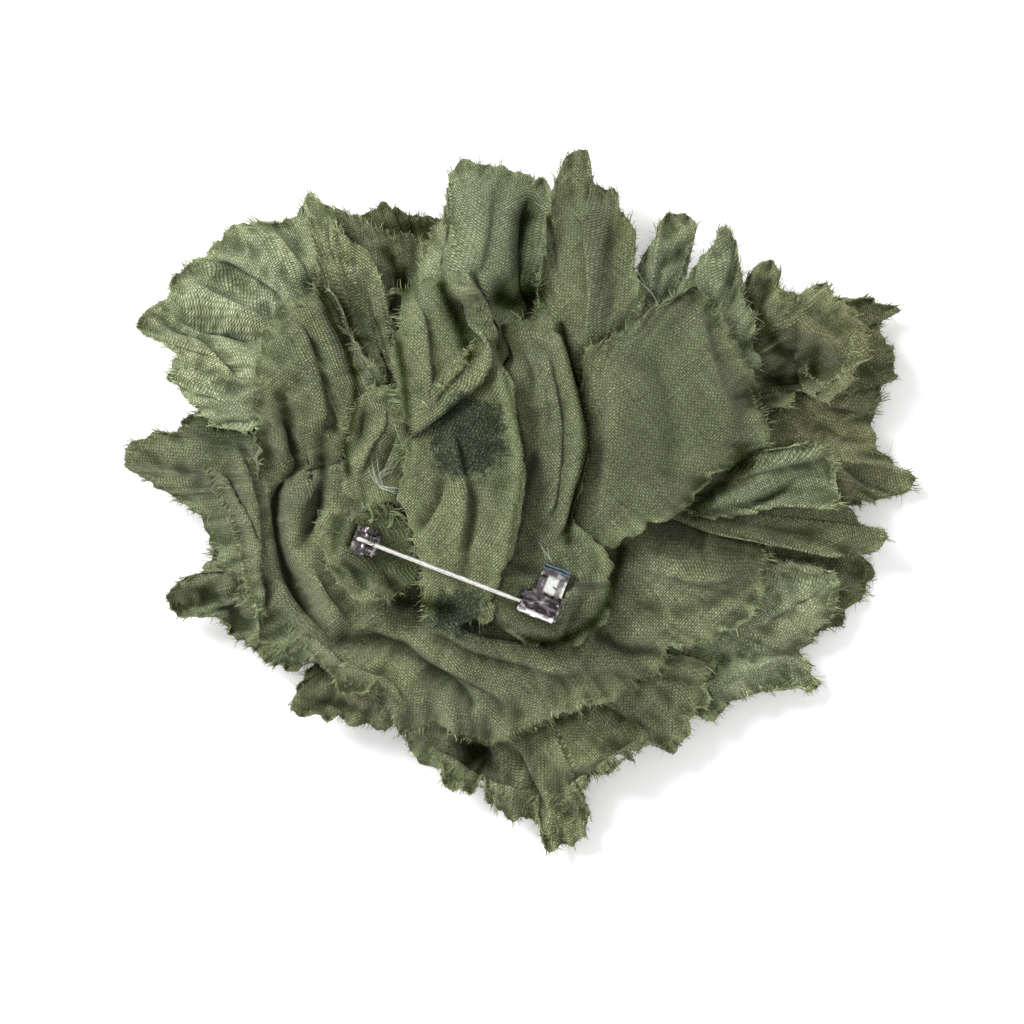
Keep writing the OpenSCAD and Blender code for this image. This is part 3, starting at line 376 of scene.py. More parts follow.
# How crushed single sheets are
WRINKLES = {
    "broad": 0.18, "point": 0.28, "top": 0.3, "top_shade": 0.6, "pleat": 0.6,
    "left_inner": 0.7, "sweep": 0.6, "right_mid": 0.5, "right_fold": 0.25,
    "lower_left": 1.1, "bottom": 0.9, "right_back": 0.9, "roll": 1.0,
    "gather_left": 0.35, "gather_middle": 0.38, "small_roll": 1.0, "hinge_patch": 1.0,
}

# How many layers a sheet's first and last side drop, and over how many millimetres the first does
SIDE_DROP = (0.2, 0.2, 3)
SIDE_DROPS = {"left_inner": (2.7, 0.2, 8)}

# The first side of these sinks this far into the sheet below, so that the two read as one cloth
SINK_W = 3
SINKS = {"left_inner": 1.1}

# Where the sweep runs on into the sheet over it, so that no shade falls between the two
SEAM = (0.262, 0.484, 0.352, 0.464)
SEAM_W = 0.028

# Folded stretches of edges, which have no loose threads: the sheet and the line in thousandths
BARE = [
    ("broad", (752, 455, 702, 481, 681, 512, 642, 530, 613, 544, 590, 552, 566, 550)),
    ("right_mid", (803, 508, 779, 508, 747, 514, 715, 521)),
    ("right_mid", (728, 438, 756, 446, 775, 447)),
    ("right_fold", (705, 531, 730, 537, 765, 544, 800, 551, 835, 557)),
]
BARE_W = 0.012

# Sides, first or last, that are folded on into other cloth and have no raw edge
PLAIN_FIRST = {"left_inner", "right_fold", "sweep"}
PLAIN_LAST = {"broad", "right_fold", "sweep"}


def mix(a, b, t):
    return a + (b - a) * t


def ease(t):
    c = np.clip(t, 0, 1)
    return c * c * (3 - 2 * c)


def place(x, y):
    """Millimetres across and up, from shares of the layout."""
    return (x - MIDDLE[0]) * LAYOUT_W, (MIDDLE[1] - y) * LAYOUT_W


def noise(x, y, seed):
    """Gradient noise on a plane, from about -0.7 to 0.7."""
    xi, yi = np.floor(x).astype(np.int64), np.floor(y).astype(np.int64)
    xf, yf = x - xi, y - yi

    def corner(i, j):
        h = ((xi + i) * 374761393 + (yi + j) * 668265263 + seed * 1442695041) & 0xFFFFFFFF
        h = ((h ^ (h >> 13)) * 1274126177) & 0xFFFFFFFF
        a = (h ^ (h >> 16)) * (2 * math.pi / 2**32)
        return np.cos(a) * (xf - i) + np.sin(a) * (yf - j)

    u = xf**3 * (xf * (6 * xf - 15) + 10)
    v = yf**3 * (yf * (6 * yf - 15) + 10)
    return mix(mix(corner(0, 0), corner(1, 0), u), mix(corner(0, 1), corner(1, 1), u), v)


def ridges(x, y, seed):
    """Noise with sharp crests, as in crushed cloth, from 0 to 1."""
    return (1 - np.minimum(1, np.abs(noise(x, y, seed)) * 2.2)) ** 2


def gap_to(x, y, ax, ay, bx, by):
    """Distance to the stretch from a to b, and the side it lies on."""
    wx, wy = bx - ax, by - ay
    t = np.clip(((x - ax) * wx + (y - ay) * wy) / (wx * wx + wy * wy), 0, 1)
    dx, dy = x - ax - wx * t, y - ay - wy * t
    return np.hypot(dx, dy), np.sign(wx * dy - wy * dx)


def fold_z(x, y):
    """Height of the folds that run through the whole stack."""
    z = np.zeros_like(x)
    for *line, rise in FOLDS:
        ax, ay, bx, by, cx, cy, half = (c / 1000 for c in line)
        g = np.minimum(gap_to(x, y, ax, ay, bx, by)[0], gap_to(x, y, bx, by, cx, cy)[0]) / half
        z += np.where(g > 3, 0, rise * np.exp(-g * g))
    return FOLD_H * z


def hub_spread(x, y):
    """How far out from the hub a place is, as a share of the flower."""
    return np.hypot((x - HUB[0]) / HUB_REACH[0], (y - HUB[1]) / HUB_REACH[1])


def layer_z(x, y, layer):
    """Height of a layer: close to its neighbours at the hub, and fanned out at the rim."""
    s = ease((hub_spread(x, y) - PLATEAU) / (RIM_LINE - PLATEAU))
    hub_z = BACK_H - (TOP_LAYER - layer) * HUB_PITCH
    rim_z = RIM_LIFT + (layer - LOW_LAYER) * RIM_PITCH
    return mix(hub_z, rim_z, s) + fold_z(x, y)


def curve_rows(rows, share):
    """Smooth curve through the rows of a table, read at shares from the first to the last."""
    rows = np.asarray(rows, float)
    last = len(rows) - 1
    on = np.asarray(share) * last
    i = np.minimum(last - 1, np.floor(on).astype(int))
    t = (on - i)[:, None]
    a, b, c, d = rows[np.maximum(0, i - 1)], rows[i], rows[i + 1], rows[np.minimum(last, i + 2)]
    return b + 0.5 * t * (c - a + t * (2 * a - 5 * b + 4 * c - d + t * (3 * (b - c) + d - a)))


def traced(line, steps):
    """A smooth line through points in thousandths of the layout, with that many steps for each."""
    line = np.reshape(line, (-1, 2)) / 1000
    return curve_rows(line, np.linspace(0, 1, steps * len(line)))


def run_along(line):
    """How far each point of a line is from its start."""
    return np.concatenate([[0], np.cumsum(np.linalg.norm(np.diff(line, axis=0), axis=1))])


def unit(way):
    """Ways of length one, or zero where there is no way."""
    return way / np.maximum(np.linalg.norm(way, axis=-1, keepdims=True), 1e-9)


class Surface:
    """A sheet's middle surface: grids of plan shares, heights, and millimetres along its edges."""

    def __init__(self, name, slot, grain, seed):
        self.name, self.slot, self.grain, self.seed = name, slot, math.radians(grain), seed
        self.piece = name
        self.ring = False
        self.drop = 0
        self.pad = 0
        self.spread = 1.0
        self.frill = 1.8
        self.wrinkle = WRINKLES.get(name, 0.9)

    def points(self):
        x, y = place(self.x, self.y)
        return np.stack([x, y, self.z], -1)


def even_shares(rows, columns, count):
    """Shares at which a curve through the rows has even steps in the plan."""
    fine = np.linspace(0, 1, 60 * len(rows))
    line = curve_rows(rows, fine)[:, columns] * LAYOUT_W
    run = run_along(line)
    return np.interp(np.linspace(0, run[-1], count), run, fine), run[-1]


def run_length(rows, columns):
    return even_shares(rows, columns, 2)[1]


def jagged(s, seed):
    """How far a raw edge stands out at a distance along it."""
    return sum(size * noise(s / wave, s * 0 + 0.5 + wave, seed) for size, wave in JAGS)


def rolled(s, seed):
    """How far a raw edge rolls up, in half turns, and what that takes off its reach."""
    broad, fine = noise(s / 7.5, s * 0 + 2.5, seed), noise(s / 2.6, s * 0 + 4.5, seed)
    turn = np.clip(-0.05 + 1.5 * broad + 0.7 * fine, 0.03, 1.1)
    radius = ROLL_W / (turn * math.pi)
    return turn, ROLL_W - np.where(turn < 0.5, radius * np.sin(turn * math.pi), radius)


def fan(name, root, layer, sag, slot, grain, ribs, seed):
    """A petal that spreads from its root out to the tips of its ribs."""
    f = Surface(name, slot, grain, seed)
    f.piece = "petal_" + name
    rows = [
        (mix(root[0], x, FAN_INNER), mix(root[1], y, FAN_INNER), x, y, layer, layer + rise)
        for x, y, rise in np.array(ribs) / (1000, 1000, 10)
    ]
    length = run_length(rows, [2, 3])
    shares, length = even_shares(rows, [2, 3], int(length / CELL) + 2)
    row = curve_rows(rows, shares)
    rib = np.hypot(row[:, 2] - row[:, 0], row[:, 3] - row[:, 1]) * LAYOUT_W
    v = np.linspace(0, 1, int(np.percentile(rib, 85) / CELL) + 2)[None, :]
    s = np.linspace(0, length, len(shares))[:, None]
    f.turn, lost = rolled(s, seed)
    reach = 1 + v**4 * (jagged(s, seed) + lost) / rib[:, None]
    f.x = row[:, 0:1] + (row[:, 2:3] - row[:, 0:1]) * v * reach
    f.y = row[:, 1:2] + (row[:, 3:4] - row[:, 1:2]) * v * reach
    tip = unit(np.gradient(row[:, 2:4], axis=0))
    raw_first, raw_last = name not in PLAIN_FIRST, name not in PLAIN_LAST
    for side, flip, raw in ((s, -1, raw_first), (length - s, 1, raw_last)):
        out = flip * raw * np.exp(-side / 3) * ease(4 * v) * jagged(rib[:, None] * v, seed + flip) / LAYOUT_W
        f.x = f.x + tip[:, 0:1] * out
        f.y = f.y + tip[:, 1:2] * out
    lay = mix(row[:, 4:5], row[:, 5:6], v**RIB_POWER) - sag * v**SAG_POWER
    first, last, reach = SIDE_DROPS.get(name, SIDE_DROP)
    drop = first * np.exp(-s * v / reach) + last * np.exp(-(length - s) * v / SIDE_DROP[2])
    drop = drop * np.minimum(1, 4 * v)
    f.z = layer_z(f.x, f.y, lay - drop)
    f.drop = HUB_PITCH * drop
    f.s = s + 0 * v
    sides = np.minimum(s + FAR * (not raw_first), length - s + FAR * (not raw_last))
    f.rim = np.minimum(rib[:, None] * (1 - v), sides * (0.3 + 0.7 * v))
    f.out = rib[:, None] * v
    f.spread = mix(FAN_INNER, 1, v) + 0 * s
    return f


def strip(name, rows, slot, grain, seed):
    """A band of cloth laid over the petals, row by row."""
    f = Surface(name, slot, grain, seed)
    rows = np.array(rows) / (1000, 1000, 1000, 1000, 10, 10)
    mid = np.stack([rows[:, 0] + rows[:, 2], rows[:, 1] + rows[:, 3]], 1) / 2
    length = np.linalg.norm(np.diff(mid, axis=0), axis=1).sum() * LAYOUT_W
    shares = np.linspace(0, 1, int(length / CELL) + 2)
    row = curve_rows(rows, shares)
    wide = np.hypot(row[:, 2] - row[:, 0], row[:, 3] - row[:, 1]) * LAYOUT_W
    v = np.linspace(0, 1, int(wide.max() / CELL) + 2)[None, :]
    s = np.linspace(0, length, len(shares))[:, None]
    torn = (v**4 * jagged(s, seed) - (1 - v) ** 4 * jagged(s, seed + 3)) / wide[:, None]
    f.x = mix(row[:, 0:1], row[:, 2:3], v + torn)
    f.y = mix(row[:, 1:2], row[:, 3:4], v + torn)
    ends = shares[:, None] ** 8 * jagged(wide[:, None] * v, seed + 5)
    ends = (ends - (1 - shares[:, None]) ** 8 * jagged(wide[:, None] * v, seed + 6)) / LAYOUT_W
    way = curve_rows(unit(np.gradient(mid, axis=0)), shares)
    f.x, f.y = f.x + ends * way[:, 0:1], f.y + ends * way[:, 1:2]
    f.z = layer_z(f.x, f.y, mix(row[:, 4:5], row[:, 5:6], v))
    f.s = wide[:, None] * v + 0 * s
    side = wide[:, None] * np.minimum(v, 1 - v)
    f.rim = np.minimum(side, np.minimum(s, length - s))
    f.out = s + 0 * v
    f.frill = 0.6
    return f


def ruffle(name, radius, layer, waves, scallop, slot, seed):
    """A ring of the flower's front, under all the petals."""
    f = Surface(name, slot, 0, seed)
    turns = int(2 * math.pi * radius / (2.2 * CELL))
    t = np.linspace(0, 2 * math.pi, turns, endpoint=False)[:, None]
    v = np.linspace(0, 1, int(radius / (1.8 * CELL)))[None, :]
    wave = (1 - np.cos(t * waves)) / 2
    s = radius * (math.pi - np.abs(t - math.pi))
    r = mix(FRONT_HOLE, radius * (1 - scallop * wave) + jagged(s, seed), v)
    f.x = FRONT_MIDDLE[0] + r * np.cos(t) / LAYOUT_W
    f.y = FRONT_MIDDLE[1] - r * np.sin(t) / LAYOUT_W
    top = BACK_H - (TOP_LAYER - layer) * HUB_PITCH
    f.z = mix(top, 0.55 + RUFFLE_WAVE * wave, ease(v))
    f.s = s + 0 * v
    f.rim = (radius - FRONT_HOLE) * (1 - v) + 0 * t
    f.out = r
    f.ring, f.frill, f.wrinkle = True, 0.5, 0.3
    return f


def roll_edge(f, room):
    """Rolls the raw edge up where there is room over it, each row on its own circle."""
    p = f.points()
    scale = np.clip(room[:, -1] / ROLL_ROOM, 0.05, 1)
    for row, turn, share in zip(p, f.turn[:, 0], scale):
        run = run_along(row)
        start = run[-1] - ROLL_W
        if start < 3 * CELL:
            continue
        k = np.searchsorted(run, start)
        base, before = (
            np.array([np.interp(at, run, row[:, i]) for i in range(3)]) for at in (start, start - 1))
        out = unit(base - before)
        up = unit(np.array([0, 0, 1]) - out[2] * out)
        radius = ROLL_W / (turn * share * math.pi)
        arc = (run[k:] - start)[:, None] / radius
        row[k:] = base + radius * (np.sin(arc) * out + (1 - np.cos(arc)) * up)
    f.x = p[..., 0] / LAYOUT_W + MIDDLE[0]
    f.y = MIDDLE[1] - p[..., 1] / LAYOUT_W
    f.z = p[..., 2]


# Sheets whose wrinkles mostly run out from the middle
PLEATED = {"upper_left", "pleat", "top_shade", "far_top", "lower_left"}


def crumple(f):
    """Wrinkles of one sheet: creases that run out from its root, crushed spots and a wavy edge."""
    x, y = place(f.x, f.y)
    near = np.exp(-f.rim / 3.5)
    wide, narrow = ease(4 * f.spread - 0.8), ease(2 * f.spread - 0.5)
    along = f.s + 3 * noise(x / 11, y / 11, f.seed + 5)
    radial = 1 if f.name in PLEATED else PLAIN_PLEATS
    size, wave, out_wave = PLEAT_WIDE
    pleat = size * ridges(along / wave, f.out / out_wave, f.seed) - PLEAT_LEVEL
    z = radial * f.wrinkle * wide * pleat
    size, wave, out_wave = PLEAT_NARROW
    pleat = ridges(along / wave, f.out / out_wave, f.seed + 11) - PLEAT_LEVEL
    z += size * radial * f.wrinkle * narrow * pleat
    z += 0.35 * f.wrinkle * narrow * noise(f.s / 1.7, f.out / 8, f.seed + 13)
    warp_x = x + 2.5 * noise(x / 6, y / 6, f.seed + 3)
    warp_y = y + 2.5 * noise(x / 6, y / 6, f.seed + 4)
    for size, wave, step in CRUSHES:
        z += size * f.wrinkle * (ridges(warp_x / wave, warp_y / wave, f.seed + step) - CRUSH_LEVEL)
    z += 0.2 * f.wrinkle * noise(x / 1.5, y / 1.5, f.seed + 31)
    for size, wave, out_wave, step in FRILLS:
        z += size * f.frill * near * noise(f.s / wave, f.out / out_wave, f.seed + step)
    f.z = f.z + z


# The plan that the stack is pressed on: a raster of the lowest cloth so far, in millimetres. SLOPE
# is how fast it rises past the cloth's edge, SOFT how gently a sheet gives way, and ADDED_EDGE
# how much higher the cells next to a sheet's points count
STEP = 0.5
SPAN_X, SPAN_Y = 62, 56
SLOPE = 1.1
SOFT = 0.3
ADDED_EDGE = 0.3


class Stack:
    """The cloth laid so far, from the pin down."""

    def __init__(self):
        self.low = np.full((int(2 * SPAN_X / STEP), int(2 * SPAN_Y / STEP)), float(FAR))

    def cells(self, px, py):
        i = np.clip((px + SPAN_X) / STEP, 0, self.low.shape[0] - 2)
        j = np.clip((py + SPAN_Y) / STEP, 0, self.low.shape[1] - 2)
        return i, j

    def nearest(self, px, py):
        i, j = self.cells(px, py)
        return i.round().astype(int), j.round().astype(int)

    def ceiling(self):
        """The lowest cloth, and past its edge a slope that rises away from it."""
        c = self.low.copy()
        for _ in range(10):
            for axis in (0, 1):
                for way in (1, -1):
                    c = np.minimum(c, np.roll(c, way, axis) + SLOPE * STEP)
        return c

    def press(self, f):
        """Lowers a sheet under the cloth laid so far, and tells how much room it had."""
        i, j = self.cells(*place(f.x, f.y))
        c = self.ceiling()
        i0, j0 = i.astype(int), j.astype(int)
        u, w = i - i0, j - j0
        over = mix(mix(c[i0, j0], c[i0 + 1, j0], u), mix(c[i0, j0 + 1], c[i0 + 1, j0 + 1], u), w)
        limit = over - CLEAR
        room = limit - f.z
        h = np.clip(0.5 + 0.5 * room / SOFT, 0, 1)
        f.z = np.maximum(mix(limit, f.z, h) - SOFT * h * (1 - h), CLOTH_T)
        return room

    def add(self, f):
        np.minimum.at(self.low, self.nearest(*place(f.x, f.y)), f.z)
        c = self.low
        for axis in (0, 1):
            c = np.minimum(c, np.minimum(np.roll(c, 1, axis), np.roll(c, -1, axis)) + ADDED_EDGE)
        self.low = np.minimum(self.low, c)


# The rivet, as placed and once the plan is turned by the bar's angle
RIVET_X, RIVET_Y = place(*RIVET_PLACE)
BAR_COS, BAR_SIN = math.cos(BAR_TURN), math.sin(BAR_TURN)
ON_BAR_X = RIVET_X * BAR_COS - RIVET_Y * BAR_SIN
ON_BAR_Y = RIVET_Y * BAR_COS + RIVET_X * BAR_SIN


def on_bar(points):
    """Points along and across the bar, in the plan."""
    p = points - np.array([RIVET_IN, 0])
    along, across = p[..., 0], p[..., 1]
    return RIVET_X + BAR_COS * along + BAR_SIN * across, RIVET_Y - BAR_SIN * along + BAR_COS * across


def bar_share(f, start, end, low, high):
    """How far into a rectangle of the bar's frame each point lies, negative outside it."""
    px, py = place(f.x, f.y)
    a = BAR_COS * (px - RIVET_X) - BAR_SIN * (py - RIVET_Y) + RIVET_IN
    b = BAR_SIN * (px - RIVET_X) + BAR_COS * (py - RIVET_Y)
    return np.minimum(np.minimum(a - start, end - a), np.minimum(b - low, high - b))


def normals(p, ring):
    """Normals of a grid of points, on its upper side."""
    if ring:
        across = np.roll(p, -1, 0) - np.roll(p, 1, 0)
    else:
        across = np.gradient(p, axis=0)
    n = unit(np.cross(np.gradient(p, axis=1), across))
    return n * np.sign(n[..., 2].sum())


def cell_normals(p):
    """A normal for each cell of a grid, as long as the cell's area."""
    return np.cross(p[1:, :-1] - p[:-1, :-1], p[:-1, 1:] - p[:-1, :-1])


def unrolled(f, p):
    """Flat coordinates of the cloth, for its weave."""
    if f.ring:
        flat = np.stack([f.s, f.out], -1)
    else:
        step = np.linalg.norm(np.diff(p, axis=1), axis=2)
        run = np.concatenate([np.zeros((len(p), 1)), np.cumsum(step, 1)], 1)
        way = unit(p[:, -1, :2] - p[:, 0, :2])
        flat = p[:, 0:1, :2] + way[:, None, :] * run[..., None]
    c, s = math.cos(f.grain), math.sin(f.grain)
    return np.stack([c * flat[..., 0] + s * flat[..., 1], c * flat[..., 1] - s * flat[..., 0]], -1)


def blurred(z, times):
    for _ in range(times):
        q = np.pad(z, 1, mode="edge")
        z = (q[1:-1, 1:-1] + q[:-2, 1:-1] + q[2:, 1:-1] + q[1:-1, :-2] + q[1:-1, 2:]) / 5
    return z


def crease_shade_and_crest_light(z):
    """Painted light and shade of each point: cloth is painted paler on its crests and darker in its creases.
    """
    high = sum(np.clip((z - blurred(z, times)) / full, -1, 1) * share for times, full, share in CREASE_SHADES)
    return CREASE_SHADE_MIDDLE + np.where(high > 0, CREST_LIGHT_UP, CREASE_SHADE_DOWN) * high


def new_mesh(name, verts, faces, place_on, material, tone):
    """verts in millimetres, faces all quads or all triangles, place_on the weave's coordinates."""
    me = bpy.data.meshes.new(name)
    n = faces.shape[1]
    me.vertices.add(len(verts))
    me.vertices.foreach_set("co", (verts * MM).astype(np.float32).ravel())
    me.loops.add(faces.size)
    me.loops.foreach_set("vertex_index", faces.astype(np.int32).ravel())
    me.polygons.add(len(faces))
    me.polygons.foreach_set("loop_start", np.arange(0, faces.size, n, dtype=np.int32))
    me.polygons.foreach_set("use_smooth", np.ones(len(faces), bool))
    at = me.attributes.new("weave", "FLOAT_VECTOR", "POINT")
    at.data.foreach_set("vector", place_on.astype(np.float32).ravel())
    # Tone of each point, with the painted shade that the material multiplies in
    tone_and_painted_shade = me.attributes.new("tone_and_painted_shade", "FLOAT_VECTOR", "POINT")
    tone_and_painted_shade.data.foreach_set("vector", (np.zeros((len(verts), 3)) + tone).astype(np.float32).ravel())
    me.update(calc_edges=True)
    me.validate()
    me.materials.append(material)
    ob = bpy.data.objects.new(name, me)
    bpy.context.scene.collection.objects.link(ob)
    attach(ob, "flower")
    return ob


def shell(f, material, tone):
    """A closed thin sheet round the middle surface, thinner at its raw edge."""
    p = f.points()
    n = normals(p, f.ring)
    half = CLOTH_T / 2 * (0.35 + 0.65 * (1 - np.exp(-f.rim / 0.8)))[..., None]
    flat = unrolled(f, p)
    info = np.concatenate([flat, f.rim[..., None]], -1).reshape(-1, 3)
    rows, cols = f.z.shape
    k = np.arange(rows * cols).reshape(rows, cols)
    if f.ring:
        k = np.concatenate([k, k[:1]], 0)
    top = np.stack([k[:-1, :-1], k[1:, :-1], k[1:, 1:], k[:-1, 1:]], -1).reshape(-1, 4)
    low = top[:, ::-1] + rows * cols
    edges = [np.stack([k[1:, 0], k[:-1, 0]], -1), np.stack([k[:-1, -1], k[1:, -1]], -1)]
    if not f.ring:
        edges += [np.stack([k[0, :-1], k[0, 1:]], -1), np.stack([k[-1, 1:], k[-1, :-1]], -1)]
    e = np.concatenate(edges)
    rim = np.stack([e[:, 1], e[:, 0], e[:, 0] + rows * cols, e[:, 1] + rows * cols], -1)
    faces = np.concatenate([top, low, rim[:, ::-1]])
    if cell_normals(p)[..., 2].sum() < 0:
        faces = faces[:, ::-1]
    low_side = p - n * half
    low_side[..., 2] -= f.pad
    verts = np.concatenate([(p + n * half).reshape(-1, 3), low_side.reshape(-1, 3)])
    # The sheet's tone times its painted shade: painted shade in creases and painted light on crests, painted
    # shade under other cloth, and painted spots and fold shade
    shade = (tone * crease_shade_and_crest_light(f.z + f.drop) * f.shade * spot_and_fold_shade(f)).reshape(-1, 1) ** SHADE_HUE
    weave, tone_and_painted_shade = np.tile(info, (2, 1)), np.tile(shade, (2, 1))
    ob = new_mesh(f.piece + "_cloth", verts, faces, weave, material, tone_and_painted_shade)
    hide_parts(f.piece)
    return ob, p, flat


def threads(name, start, way, bend, length, radius, info, material, tone):
    """Thin three-sided tubes, each on its own bent line, as one mesh."""
    rings = radius.shape[1]
    t = np.linspace(0, 1, rings)[None, :, None]
    line = start[:, None] + length[:, None, None] * (way[:, None] * t + bend[:, None] * t**2)
    u = unit(np.cross(way, (0.3, 0.2, 0.93)))
    w = np.cross(way, u)
    turns = np.arange(3) * 2 * math.pi / 3
    circle = np.cos(turns)[None, :, None] * u[:, None] + np.sin(turns)[None, :, None] * w[:, None]
    verts = line[:, :, None] + circle[:, None] * radius[:, :, None, None]
    verts[..., 2] = np.maximum(verts[..., 2], 0.02)
    k = np.arange(radius.size * 3).reshape(-1, rings, 3)
    a, b, nxt = k[:, :-1], k[:, 1:], [1, 2, 0]
    quads = np.stack([a, a[:, :, nxt], b[:, :, nxt], b], -1).reshape(-1, 4)
    tris = np.concatenate([quads[:, [0, 1, 2]], quads[:, [0, 2, 3]], k[:, 0, ::-1], k[:, -1]])
    info = np.concatenate([np.repeat(info, rings * 3, 0), np.zeros((radius.size * 3, 1))], 1)
    return new_mesh(name, verts.reshape(-1, 3), tris, info, material, tone)


def frayed_lines(f, p, flat):
    """The raw edges of a sheet, each with a line just inside it and its weave coordinates."""
    lines = [(p[:, -1], p[:, -3], flat[:, -1])]
    if f.ring:
        return lines
    if f.name == "gather_middle":
        return [(p[0], p[2], flat[0])]
    if f.name == "gather_left":
        lines = []
    if f.name not in PLAIN_FIRST:
        lines.append((p[0], p[2], flat[0]))
    if f.name not in PLAIN_LAST:
        lines.append((p[-1], p[-3], flat[-1]))
    if hasattr(f, "turn"):
        lines.append((p[:, -3] + ROLL_TOP, p[:, -6] - ROLL_DIP, flat[:, -3]))
    else:
        lines.append((p[:, 0], p[:, 2], flat[:, 0]))
    for sheets, rise, left, right, *line in CREASES:
        if f.name + "!" not in sheets.split():
            continue
        line = traced(line, 9)
        at = np.stack(place(line[:, 0], line[:, 1]), 1)
        grid, cloth = p.reshape(-1, 3), flat.reshape(-1, 2)
        near = [np.argmin(((grid[:, :2] - q) ** 2).sum(1)) for q in at]
        on = grid[near]
        out = np.cross(unit(np.gradient(on, axis=0)), (0, 0, 1)) * (1 if right < left else -1)
        for back in SWEEP_BACKS if f.name == "sweep" else FOLD_BACKS:
            start = on - out * back + FOLD_TOP
            lines.append((start, start - out * FOLD_IN - FOLD_DIP, cloth[near]))
    return lines


def raw(f, start):
    """Which threads don't start on a folded stretch of the edge."""
    x, y = start[:, 0] / LAYOUT_W + MIDDLE[0], MIDDLE[1] - start[:, 1] / LAYOUT_W
    keep = np.ones(len(x), bool)
    for name, line in BARE:
        line = np.reshape(line, (-1, 2)) / 1000
        for a, b in zip(line[:-1], line[1:]):
            keep &= (gap_to(x, y, *a, *b)[0] > BARE_W) | (name != f.name)
    return keep


def frays(f, p, flat, material, tone):
    """Loose threads along the raw edges: a comb of straight ones and a fuzz of short bent ones."""
    rng = np.random.default_rng(f.seed)
    sets = []
    for line, inner, weave in frayed_lines(f, p, flat):
        run = run_along(line)
        at = np.sort(rng.uniform(0, run[-1], int(run[-1] / FRAY_PITCH)))

        def read(q):
            return np.stack([np.interp(at, run, q[:, i]) for i in range(q.shape[1])], 1)

        start = read(line)
        way = unit(start - read(inner))
        sets.append((start - way * 0.3, way, read(weave)))
    start, way, info = (np.concatenate(part) for part in zip(*sets))
    keep = raw(f, start)
    start, way, info = start[keep], way[keep], info[keep]
    count = len(start)
    fuzz = rng.random(count) < FUZZ_SHARE
    tuft = np.exp(1.7 * noise(start[:, 0] / 2.2, start[:, 1] / 2.2, f.seed + 7))
    length = np.where(fuzz, rng.uniform(*FUZZ_L, count), COMB_L * tuft * rng.lognormal(0, 0.3, count))
    length = np.clip(length, *FRAY_L)
    side = np.cross(way, (0, 0, 1))
    up = np.array([0, 0, 1])
    spread = np.where(fuzz, 1.0, 0.2)

    def swing(side_size, up_mean, up_size):
        across = rng.normal(0, side_size, count) * spread
        rise = rng.normal(up_mean, up_size, count) * spread
        return side * across[:, None] + up * rise[:, None]

    way = unit(way + swing(1.0, 0.15, 0.5))
    bend = swing(1.1, -0.1, 0.6)
    radius = np.where(fuzz, FUZZ_R, rng.uniform(*COMB_R, count))[:, None] * np.array(TAPER)
    tone = tone * FRAY_TONE
    return threads(f.piece + "_fray", start, way, bend, length, radius, info, material, tone)


def crease(f):
    """Folds the sheet along its creases, and leans each one over to its narrow side."""
    for sheets, rise, left, right, *line in CREASES:
        if f.name not in sheets.split():
            continue
        line = traced(line, 5)
        run = run_along(line)
        near = np.full(f.x.shape, 9.0)
        side, at = np.zeros_like(near), np.zeros_like(near)
        out_x, out_y = np.zeros_like(near), np.zeros_like(near)
        for k in range(len(line) - 1):
            (ax, ay), (bx, by) = line[k], line[k + 1]
            gap, hand = gap_to(f.x, f.y, ax, ay, bx, by)
            new = gap < near
            near = np.where(new, gap, near)
            side = np.where(new, hand, side)
            size = math.hypot(bx - ax, by - ay)
            along = np.clip(((f.x - ax) * (bx - ax) + (f.y - ay) * (by - ay)) / size**2, 0, 1)
            at = np.where(new, run[k] + along * size, at)
            out_x = np.where(new, -(by - ay) / size, out_x)
            out_y = np.where(new, (bx - ax) / size, out_y)
        ends = ease(np.minimum(at, run[-1] - at) * LAYOUT_W / CREASE_END)
        g = near * LAYOUT_W / np.where(side > 0, right, left)
        lift = CREASE_RISE * rise * ends * np.exp(-g * g)
        f.z = f.z + lift
        lean = CREASE_LEAN * np.sign(left - right) * np.abs(lift) / LAYOUT_W
        f.x = f.x + lean * out_x
        f.y = f.y + lean * out_y


# Gauze: the pitch of its threads in millimetres, and the share of light that passes through
WEAVE = 0.31
GLOW = 0.18

# Slubs of the threads, as waves for each millimetre
SLUB_ACROSS, SLUB_ALONG = 2.6, 0.16

# Hues, against the gauze's own, of its clouds and of the painted highlights on its brightest threads
CLOUD_HUE = (1.12, 1.06, 0.9)
THREAD_HIGHLIGHT_HUE = (0.8, 0.82, 1.05)

# Stains: place and size in millimetres, and the heights between which they fade in
STAINS = [(-6.9, 8.4, 5.8), (-8.3, -15.6, 3.8)]
STAIN_Z = (12.2, 13.6)
STAIN_COLOUR = (0.031, 0.042, 0.027, 1)


